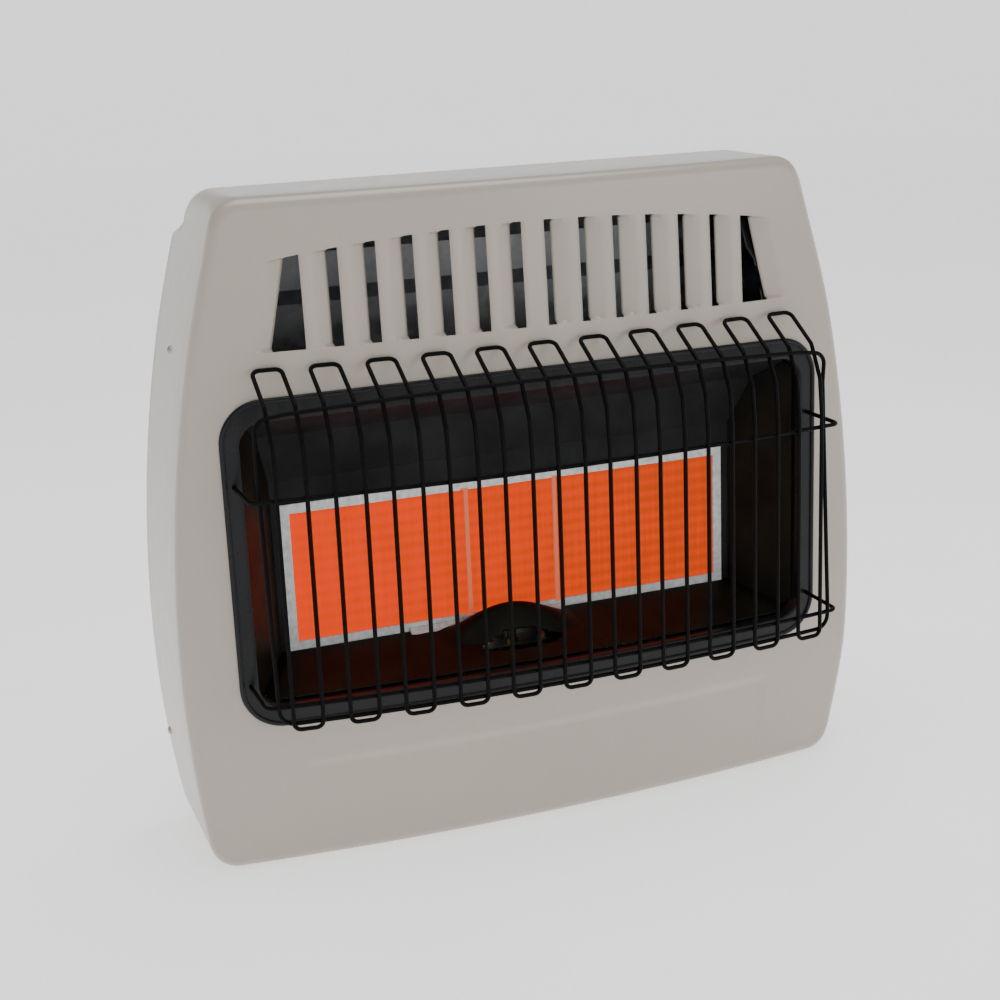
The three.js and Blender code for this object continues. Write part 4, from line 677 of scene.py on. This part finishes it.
def make_hearth(case):
    """The bottom reflector with its hump and the dark opening of the pilot.

    Rows run from the gasket forward to the lip and columns across. Points inside the
    ellipse of the opening are left out, and the front corners are drawn in to the round
    corners of the lip.
    """
    rows = 46
    t = np.linspace(0, 1, rows)[:, None]
    u = np.concatenate([
        np.linspace(-1, -0.4, 12)[:-1], np.linspace(-0.4, 0.3, 90), np.linspace(0.3, 1, 12)[1:]
    ])[None, :]
    end_x = HEARTH_BACK_HALF + (HEARTH_FRONT_HALF - HEARTH_BACK_HALF) * t
    corner = np.clip((t - CORNER_FROM) / CORNER_RUN, 0, 1)
    end_x = end_x - CORNER_IN * corner ** 2.2 * (np.abs(u) > CORNER_SHARE)
    x = end_x * u
    front = face_y(case, x, 0.0) + HEARTH_SHORT
    y = HEARTH_BACK_Y + (front - HEARTH_BACK_Y) * t
    z = HEARTH_BACK_Z + (HEARTH_FRONT_Z - HEARTH_BACK_Z) * t + hearth_rise(x, y)
    faces = grid_faces(rows, u.shape[1]).reshape(rows - 1, -1, 4)
    xc, yc = (x[:-1, :-1] + x[1:, 1:]) / 2, (y[:-1, :-1] + y[1:, 1:]) / 2
    hole = ((xc - HOLE_X) / HOLE_HALF_X) ** 2 + ((yc - HOLE_Y) / HOLE_HALF_Y) ** 2 < 1
    faces = faces[~hole].tolist()
    points = np.stack([x, y, z], -1).reshape(-1, 3)
    obj = new_piece("hearth_sheet", points, faces)
    clean(obj)
    obj.data.shade_smooth()
    return thicken(obj, HEARTH_SHEET)


def make_tab(name, x0, x1, ahead):
    """A white strip of fibre that is folded down beside the hump.

    It runs from the gasket forward and rests just above the sheet, so it climbs the
    shoulder of the hump. It curls up to the gasket by a square law, and its free edge waves
    by two sines.
    """
    rows, cols = 8, 30
    u = np.linspace(0, 1, cols)[None, :]
    w = np.linspace(0, 1, rows)[:, None]
    x = x0 + (x1 - x0) * u + 0 * w
    wave = 0.0009 * np.sin(u * 7.0 + x0 * 60) + 0.0006 * np.sin(u * 17.0)
    y = TAB_BACK - (ahead + wave) * w
    slope = (HEARTH_BACK_Y - y) / HEARTH_DEEP
    rest = HEARTH_BACK_Z - HEARTH_DROP * slope + hearth_rise(x, y)
    z = rest + TAB_GAP + TAB_CURL * (1 - w) ** 2
    points = np.stack([x, y, z], -1).reshape(-1, 3)
    obj = new_piece(name, points, grid_faces(rows, cols).tolist())
    return thicken(obj, TAB_SHEET, 1.0)


# ------------------------------------------------------------------ knob
MARK_HALF_LONG, MARK_HALF_WIDE, MARK_OFF = 0.0055, 0.0009, 0.0085
MARK_SUNK, MARK_THICK = 0.0004, 0.0006


def make_knob_mark():
    """The white pointer line let into the grip of the knob, a capsule outline drawn out.

    Its foot is sunk into the grip, and its face stands a little proud.
    """
    low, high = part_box("control_knob")
    count = 32
    angle = np.linspace(0, 2 * np.pi, count, endpoint=False)
    centre_y, centre_z = (low[1] + high[1]) / 2, (low[2] + high[2]) / 2
    long = np.where(np.sin(angle) > 0, 1, -1) * MARK_HALF_LONG
    ring_y = centre_y + MARK_HALF_WIDE * np.cos(angle)
    ring_z = centre_z + MARK_OFF + long + MARK_HALF_WIDE * np.sin(angle)
    base = high[0] - MARK_SUNK
    rings = [np.stack([np.full(count, base + d), ring_y, ring_z], -1) for d in (0.0, MARK_THICK)]
    caps = [list(range(count)), list(range(count, 2 * count))]
    faces = grid_faces(2, count, False, True).tolist() + caps
    points = np.concatenate(rings)
    obj = new_piece("knob_mark", points, faces, body="control_turn")
    return clean(obj)


# ------------------------------------------------------------------ materials
class Finish:
    """A node material with short calls for the nodes that the finishes share."""

    def __init__(self, name):
        self.material = bpy.data.materials.new(name)
        self.material.use_nodes = True
        self.nodes = self.material.node_tree.nodes
        self.links = self.material.node_tree.links
        self.nodes.clear()
        self.out = self.nodes.new("ShaderNodeOutputMaterial")
        self.shader = self.nodes.new("ShaderNodeBsdfPrincipled")
        self.links.new(self.shader.outputs["BSDF"], self.out.inputs["Surface"])
        self.coords = self.nodes.new("ShaderNodeTexCoord").outputs["Object"]

    def set(self, **values):
        """Sets sockets of the shader; an underscore stands for a space."""
        for key, value in values.items():
            self.shader.inputs[key.replace("_", " ")].default_value = value
        return self

    def stretched(self, scale):
        """The object coordinates, stretched along the axes."""
        node = self.nodes.new("ShaderNodeMapping")
        node.inputs["Scale"].default_value = scale
        self.links.new(self.coords, node.inputs["Vector"])
        return node.outputs["Vector"]

    def noise(self, scale, detail=2.0, rough=0.5, vector=None):
        """A noise value between 0 and 1."""
        node = self.nodes.new("ShaderNodeTexNoise")
        node.inputs["Scale"].default_value = scale
        node.inputs["Detail"].default_value = detail
        node.inputs["Roughness"].default_value = rough
        self.links.new(vector or self.coords, node.inputs["Vector"])
        return node.outputs["Fac"]

    def cells(self, scale):
        """A value between 0 and 1 that is even within each crystal-like cell."""
        node = self.nodes.new("ShaderNodeTexVoronoi")
        node.inputs["Scale"].default_value = scale
        self.links.new(self.coords, node.inputs["Vector"])
        split = self.nodes.new("ShaderNodeSeparateColor")
        self.links.new(node.outputs["Color"], split.inputs["Color"])
        return split.outputs["Red"]

    def ramp(self, value, stops):
        """A colour ramp with (place, colour) stops."""
        node = self.nodes.new("ShaderNodeValToRGB")
        ramp = node.color_ramp
        while len(ramp.elements) < len(stops):
            ramp.elements.new(0.5)
        for element, (place, tint) in zip(ramp.elements, stops):
            element.position = place
            element.color = (*tint, 1.0)
        self.links.new(value, node.inputs["Fac"])
        return node.outputs["Color"]

    def mix(self, share, first, second):
        """A blend from a colour value to an even colour, by a share."""
        node = self.nodes.new("ShaderNodeMix")
        node.data_type = "RGBA"
        self.links.new(share, node.inputs["Factor"])
        self.links.new(first, node.inputs[6])
        node.inputs[7].default_value = (*second, 1.0)
        return node.outputs[2]

    def span(self, value, low, high):
        """Maps 0..1 to low..high."""
        node = self.nodes.new("ShaderNodeMapRange")
        node.inputs["To Min"].default_value = low
        node.inputs["To Max"].default_value = high
        self.links.new(value, node.inputs["Value"])
        return node.outputs["Result"]

    def maths(self, kind, a, b=None):
        """A maths node on values or numbers."""
        node = self.nodes.new("ShaderNodeMath")
        node.operation = kind
        for socket, value in zip(node.inputs, (a, b)):
            if value is None:
                continue
            if isinstance(value, (int, float)):
                socket.default_value = value
            else:
                self.links.new(value, socket)
        return node.outputs["Value"]

    def axes(self):
        """The x, y and z of the object coordinates."""
        node = self.nodes.new("ShaderNodeSeparateXYZ")
        self.links.new(self.coords, node.inputs["Vector"])
        return node.outputs

    def bump(self, height, distance, strength=1.0):
        """Joins a height to the shader's normal."""
        node = self.nodes.new("ShaderNodeBump")
        node.inputs["Distance"].default_value = distance
        node.inputs["Strength"].default_value = strength
        self.links.new(height, node.inputs["Height"])
        self.links.new(node.outputs["Normal"], self.shader.inputs["Normal"])
        return self

    def feed(self, socket, value):
        """Joins a value to a socket of the shader."""
        self.links.new(value, self.shader.inputs[socket])
        return self


def tints(base, low, high):
    """Two stops that are darker and lighter than a colour."""
    return [(0.3, tuple(c * low for c in base)), (0.7, tuple(min(c * high, 1) for c in base))]


def case_paint(settings):
    """Warm grey-beige semi-gloss enamel: faint clouding, orange peel and uneven gloss."""
    f = Finish("case_paint_finish")
    f.feed("Base Color", f.ramp(f.noise(9, 3), tints(settings.paint, 0.975, 1.025)))
    f.feed("Roughness", f.span(f.noise(60, 3), 0.26, 0.36))
    f.set(Coat_Weight=0.25, Coat_Roughness=0.12, IOR=1.5)
    return f.bump(f.noise(700, 2), 0.00002, 0.5).material


def black_gloss(settings):
    """Black enamel with soft gloss, dust-fine grain and faint brown-grey clouding."""
    f = Finish("black_gloss_finish")
    f.feed("Base Color", f.ramp(f.noise(14, 3), tints(settings.black, 0.8, 1.3)))
    f.feed("Roughness", f.span(f.noise(45, 4), 0.22, 0.36))
    f.set(Specular_IOR_Level=0.19)
    return f.bump(f.noise(900, 2), 0.000015, 0.4).material


def firebox_black(settings):
    """Heat-dulled black enamel of the firebox: neutral, nearly matte, faintly clouded."""
    f = Finish("firebox_black_finish")
    f.feed("Base Color", f.ramp(f.noise(18, 4), tints(settings.firebox, 0.6, 1.4)))
    f.feed("Roughness", f.span(f.noise(40, 4), 0.45, 0.62))
    f.set(Specular_IOR_Level=0.07)
    return f.bump(f.noise(700, 3), 0.00002, 0.5).material


def guard_coat(settings):
    """Satin black coating of the wire, a little rougher at the grain."""
    f = Finish("guard_coat_finish")
    f.feed("Base Color", f.ramp(f.noise(120, 3), tints(settings.guard, 0.7, 1.5)))
    f.feed("Roughness", f.span(f.noise(300, 3), 0.42, 0.58))
    f.set(Specular_IOR_Level=0.07)
    return f.bump(f.noise(1600, 2), 0.00001, 0.6).material


def hearth_enamel(settings):
    """Dark brown glass enamel, clouded by heat."""
    f = Finish("hearth_enamel_finish")
    f.feed("Base Color", f.ramp(f.noise(22, 4), tints(settings.hearth, 0.6, 1.5)))
    f.feed("Roughness", f.span(f.noise(35, 4), 0.38, 0.54))
    f.set(Specular_IOR_Level=0.08)
    return f.bump(f.noise(500, 3), 0.00002, 0.6).material


PLAQUE_BORE, PLAQUE_BAND = 0.0026, 0.0118
SEAM_X, SEAM_HALF = 0.0485, 0.004
PLAQUE_MIDDLE, PLAQUE_HALF_HIGH = -0.0534, 0.066


def glowing_plaque(settings):
    """Hot ceramic plaque: a grid of fine bores in rows, dark cores, and a slow change of heat."""
    f = Finish("glowing_plaque_finish")
    x, _, z = f.axes()
    cell = 2 * math.pi / PLAQUE_BORE
    across = f.maths("SINE", f.maths("MULTIPLY", x, cell))
    along = f.maths("SINE", f.maths("MULTIPLY", z, cell))
    holes = f.maths("MULTIPLY", across, along)
    band = f.maths("SINE", f.maths("MULTIPLY", z, 2 * math.pi / PLAQUE_BAND))
    mixed = f.maths("ADD", f.maths("MULTIPLY", holes, 0.32), f.maths("MULTIPLY", band, 0.12))
    streak = f.noise(1, 2, 0.5, f.stretched((210, 1, 9)))
    drift = f.maths("MULTIPLY", x, -1.25)
    cloud = f.maths("MULTIPLY", f.noise(28, 3), 0.35)
    cloud = f.maths("ADD", cloud, f.maths("MULTIPLY", streak, 0.65))
    heat = f.maths("ADD", mixed, f.maths("ADD", cloud, drift))
    glow = settings.glow
    hot = tuple(min(c * k, 1) for c, k in zip(glow, (1.25, 1.0, 0.8)))
    dim = tuple(c * k for c, k in zip(glow, (0.62, 1.1, 3.0)))
    tint = f.ramp(heat, [(0.15, dim), (0.5, tuple(glow)), (0.9, hot)])
    f.feed("Emission Color", tint)
    f.set(Emission_Strength=1.08, Base_Color=(0.16, 0.012, 0.003, 1))
    f.set(Roughness=0.9, Specular_IOR_Level=0.0)
    return f.bump(holes, 0.0002, 0.6).material


def fibre(settings):
    """Pressed white fibre: soft, matte, finely felted; reddish, with a painted glow, between
    plaques.
    """
    f = Finish("fibre_finish")
    x, _, z = f.axes()
    beside = f.maths("ABSOLUTE", f.maths("SUBTRACT", f.maths("ABSOLUTE", x), SEAM_X))
    off_middle = f.maths("ABSOLUTE", f.maths("SUBTRACT", z, PLAQUE_MIDDLE))
    near = f.maths("LESS_THAN", beside, SEAM_HALF)
    seam = f.maths("MULTIPLY", near, f.maths("LESS_THAN", off_middle, PLAQUE_HALF_HIGH))
    # Painted glow: the strip between the plaques emits orange, standing in for the plaques' light
    # on it
    heat = f.maths("MULTIPLY", seam, f.span(f.noise(90, 2), 0.7, 1.0))
    felt = f.ramp(f.noise(160, 4), tints(settings.fibre, 0.78, 1.15))
    f.feed("Base Color", f.mix(seam, felt, (0.3, 0.11, 0.07)))
    f.feed("Emission Color", f.ramp(heat, [(0.0, (0, 0, 0)), (1.0, (0.75, 0.13, 0.05))]))
    f.set(Emission_Strength=0.8, Roughness=0.92)
    return f.bump(f.noise(1400, 4), 0.0002, 0.7).material


def metal(name, base, rough, brushed=(1, 1, 1), spangle=0):
    """A bare metal with drawn lines along an axis or the spangle of zinc."""
    f = Finish(name)
    grain = f.noise(220, 4, 0.6, f.stretched(brushed))
    if spangle:
        grain = f.cells(spangle)
    f.feed("Base Color", f.ramp(grain, tints(base, 0.9, 1.08)))
    f.feed("Roughness", f.span(grain, rough * 0.75, rough * 1.3))
    f.set(Metallic=1.0)
    return f.bump(f.noise(500, 3, 0.5, f.stretched(brushed)), 0.00002, 0.5).material


def plain(name, base, rough, grain, depth):
    """A non-metal with a fine grain."""
    f = Finish(name)
    f.feed("Base Color", f.ramp(f.noise(grain / 12, 3), tints(base, 0.85, 1.15)))
    f.feed("Roughness", f.span(f.noise(grain / 4, 3), rough * 0.85, min(rough * 1.15, 1)))
    return f.bump(f.noise(grain, 2), depth, 0.6).material


def all_finishes(settings):
    """Every finish, by the name of the record's slot."""
    return {
        "case_paint": case_paint(settings),
        "black_gloss": black_gloss(settings),
        "firebox": firebox_black(settings),
        "guard_black": guard_coat(settings),
        "dark_enamel": hearth_enamel(settings),
        "plaque_ceramic": glowing_plaque(settings),
        "white_fibre": fibre(settings),
        "zinc_sheet": metal("zinc_sheet_finish", (0.42, 0.43, 0.44), 0.42, spangle=95),
        "steel": metal("steel_finish", (0.36, 0.345, 0.32), 0.36, (1, 1, 12)),
        "die_cast": metal("die_cast_finish", (0.46, 0.465, 0.47), 0.48, spangle=420),
        "brass": metal("brass_finish", (0.52, 0.34, 0.1), 0.28, (1, 1, 10)),
        "copper": metal("copper_finish", (0.5, 0.2, 0.1), 0.3, (12, 1, 1)),
        "white_ceramic": plain("white_ceramic_finish", (0.8, 0.78, 0.72), 0.25, 600, 0.00001),
        "lead_silicone": plain("lead_silicone_finish", (0.16, 0.012, 0.01), 0.55, 900, 0.00002),
        "black_plastic": plain("black_plastic_finish", (0.018, 0.018, 0.019), 0.45, 1500, 0.00004),
    }


def dress(obj, material):
    """Gives an object one material."""
    obj.data.materials.clear()
    obj.data.materials.append(material)


# ------------------------------------------------------------------ camera and light
CAMERA_AT = (-0.5773, -1.6285, 0.4595)
YAW, PITCH, ROLL = math.radians(20.16), math.radians(15.79), math.radians(-2.43)
FOCAL_PIXELS, PICTURE_PIXELS, SENSOR = 1727.8, 1000, 36.0
FLOOR_FLAT, FLOOR_SWEEP, FLOOR_RISE = 9, 6, 3.5
# Name, place, point that it faces, size and share of the key setting of each lamp.
LAMPS = (
    ("key", (0.1, -0.25, 2.3), (0, -0.1, 0.2), (2.2, 1.2), 1.65),
    ("fill", (1.6, -2.6, 0.9), (0, -0.1, 0), (1.4, 1.4), 0.5),
)


def make_camera():
    """The camera of the photograph: forward from yaw and pitch, then rolled about it."""
    level = Vector((math.sin(YAW), math.cos(YAW), 0)) * math.cos(PITCH)
    forward = level + Vector((0, 0, -math.sin(PITCH)))
    right = forward.cross(Vector((0, 0, 1))).normalized()
    up = right.cross(forward)
    rolled_right = right * math.cos(ROLL) + up * math.sin(ROLL)
    rolled_up = up * math.cos(ROLL) - right * math.sin(ROLL)
    data = bpy.data.cameras.new("photo_camera")
    data.sensor_width = SENSOR
    data.sensor_fit = "HORIZONTAL"
    data.lens = FOCAL_PIXELS / PICTURE_PIXELS * SENSOR
    camera = bpy.data.objects.new("photo_camera", data)
    turn = Matrix((rolled_right, rolled_up, -forward)).transposed()
    camera.matrix_world = Matrix.Translation(CAMERA_AT) @ turn.to_4x4()
    bpy.context.scene.collection.objects.link(camera)
    bpy.context.scene.camera = camera


def area_light(name, at, aim, size, power):
    """A soft oblong light that faces a point."""
    data = bpy.data.lights.new(name, "AREA")
    data.shape = "RECTANGLE"
    data.size, data.size_y = size
    data.energy = power
    light = bpy.data.objects.new(name, data)
    light.location = at
    light.rotation_euler = (Vector(aim) - Vector(at)).to_track_quat("-Z", "Y").to_euler()
    bpy.context.scene.collection.objects.link(light)


def make_stage(stage):
    """A pale floor that sweeps up far away all round, the surrounding light and the lamps."""
    spokes = 96
    turn = np.linspace(0, math.pi / 2, 24)
    reach = np.concatenate([[0.01, 4.0], FLOOR_FLAT + FLOOR_SWEEP * np.sin(turn)])[:, None]
    rise = np.concatenate([[0, 0], FLOOR_RISE * (1 - np.cos(turn))])[:, None]
    rise = rise + CAD_BOX[0][2] - stage.floor_gap
    around = np.linspace(0, 2 * math.pi, spokes, endpoint=False)[None, :]
    verts = np.stack([reach * np.cos(around), reach * np.sin(around), rise + 0 * around], -1)
    faces = grid_faces(len(reach), spokes, False, True, True).tolist() + [list(range(spokes))]
    mesh = bpy.data.meshes.new("floor")
    mesh.from_pydata(verts.reshape(-1, 3).tolist(), [], faces)
    mesh.shade_smooth()
    floor = bpy.data.objects.new("floor", mesh)
    bpy.context.scene.collection.objects.link(floor)
    f = Finish("floor_finish")
    f.feed("Base Color", f.ramp(f.noise(4, 2), [(0.3, (0.86, 0.86, 0.86)), (0.7, (0.9, 0.9, 0.9))]))
    f.set(Roughness=0.85, Emission_Color=(1, 1, 1, 1), Emission_Strength=0.85)
    dress(floor, f.material)
    world = bpy.data.worlds.new("studio")
    world.use_nodes = True
    back = world.node_tree.nodes["Background"]
    back.inputs["Color"].default_value = (1, 1, 1, 1)
    back.inputs["Strength"].default_value = stage.sky
    bpy.context.scene.world = world
    for name, at, aim, size, share in LAMPS:
        area_light(name, at, aim, size, stage.key * share)


# ------------------------------------------------------------------ operators
FINISHES = {}


class HEATER_OT_stage(bpy.types.Operator):
    """Set up the camera, the floor and the lights"""

    bl_idname = "heater.stage"
    bl_label = "Stage"

    def execute(self, context):
        make_camera()
        make_stage(context.scene.heater_stage)
        return {"FINISHED"}


class HEATER_OT_finishes(bpy.types.Operator):
    """Make the finishes and give them to the solids"""

    bl_idname = "heater.finishes"
    bl_label = "Finishes"

    def execute(self, context):
        FINISHES.update(all_finishes(context.scene.heater_finish))
        slots = {row["node"]: row["material_slot"] for row in frame["record"]["subparts"]}
        for name, obj in frame["nodes"].items():
            dull = slots[name] == "black_gloss" and name != "bezel"
            dress(obj, FINISHES["firebox" if dull else slots[name]])
        return {"FINISHED"}


class HEATER_OT_case(bpy.types.Operator):
    """Build the bowed case with its louvres and pressed panel"""

    bl_idname = "heater.case"
    bl_label = "Case"

    def execute(self, context):
        obj = make_case(context.scene.heater_case)
        dress(obj, FINISHES["case_paint"])
        # Dark firebox enamel inside the case, which also paints the shade behind the louvres
        obj.data.materials.append(FINISHES["firebox"])
        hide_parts("front_cover")
        return {"FINISHED"}


class HEATER_OT_bezel(bpy.types.Operator):
    """Build the black frame of the window"""

    bl_idname = "heater.bezel"
    bl_label = "Bezel"

    def execute(self, context):
        obj = make_bezel(context.scene.heater_case)
        dress(obj, FINISHES["black_gloss"])
        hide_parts("bezel")
        return {"FINISHED"}


class HEATER_OT_guard(bpy.types.Operator):
    """Build the wire guard"""

    bl_idname = "heater.guard"
    bl_label = "Guard"

    def execute(self, context):
        obj = make_guard(context.scene.heater_case, context.scene.heater_guard)
        dress(obj, FINISHES["guard_black"])
        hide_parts("wire_guard")
        return {"FINISHED"}


class HEATER_OT_hearth(bpy.types.Operator):
    """Build the hearth sheet with its hump"""

    bl_idname = "heater.hearth"
    bl_label = "Hearth"

    def execute(self, context):
        obj = make_hearth(context.scene.heater_case)
        dress(obj, FINISHES["dark_enamel"])
        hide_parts("bottom_reflector")
        return {"FINISHED"}


class HEATER_OT_tabs(bpy.types.Operator):
    """Build the fibre tabs beside the hump"""

    bl_idname = "heater.tabs"
    bl_label = "Fibre tabs"

    def execute(self, context):
        for row in TABS:
            dress(make_tab(*row), FINISHES["white_fibre"])
        return {"FINISHED"}


class HEATER_OT_knob_mark(bpy.types.Operator):
    """Build the pointer line of the knob"""

    bl_idname = "heater.knob_mark"
    bl_label = "Knob mark"

    def execute(self, context):
        dress(make_knob_mark(), FINISHES["white_ceramic"])
        return {"FINISHED"}


class HEATER_PT_panel(bpy.types.Panel):
    """Lists the steps that build the heater"""

    bl_idname = "HEATER_PT_panel"
    bl_label = "Wall Gas Heater"
    bl_space_type = "VIEW_3D"
    bl_region_type = "UI"
    bl_category = "Heater"

    def draw(self, context):
        for group in ("heater_case", "heater_guard", "heater_finish", "heater_stage"):
            box = self.layout.box()
            settings = getattr(context.scene, group)
            for key in settings.__class__.__annotations__:
                box.prop(settings, key)
        for step in STEPS:
            self.layout.operator(step.bl_idname)


GROUPS = {
    "heater_case": HeaterCaseSettings,
    "heater_guard": HeaterGuardSettings,
    "heater_finish": HeaterFinishSettings,
    "heater_stage": HeaterStageSettings,
}
STEPS = (
    HEATER_OT_stage, HEATER_OT_finishes, HEATER_OT_case, HEATER_OT_bezel, HEATER_OT_guard,
    HEATER_OT_hearth, HEATER_OT_tabs, HEATER_OT_knob_mark,
)


def register():
    """Registers the settings, the steps and the panel."""
    for name, group in GROUPS.items():
        bpy.utils.register_class(group)
        setattr(bpy.types.Scene, name, PointerProperty(type=group))
    for step in STEPS:
        bpy.utils.register_class(step)
    bpy.utils.register_class(HEATER_PT_panel)


def unregister():
    """Removes what register added."""
    bpy.utils.unregister_class(HEATER_PT_panel)
    for step in reversed(STEPS):
        bpy.utils.unregister_class(step)
    for name, group in reversed(list(GROUPS.items())):
        delattr(bpy.types.Scene, name)
        bpy.utils.unregister_class(group)


def main():
    """Builds everything in order."""
    register()
    for step in STEPS:
        group, name = step.bl_idname.split(".")
        getattr(getattr(bpy.ops, group), name)()


if __name__ == "__main__":
    main()
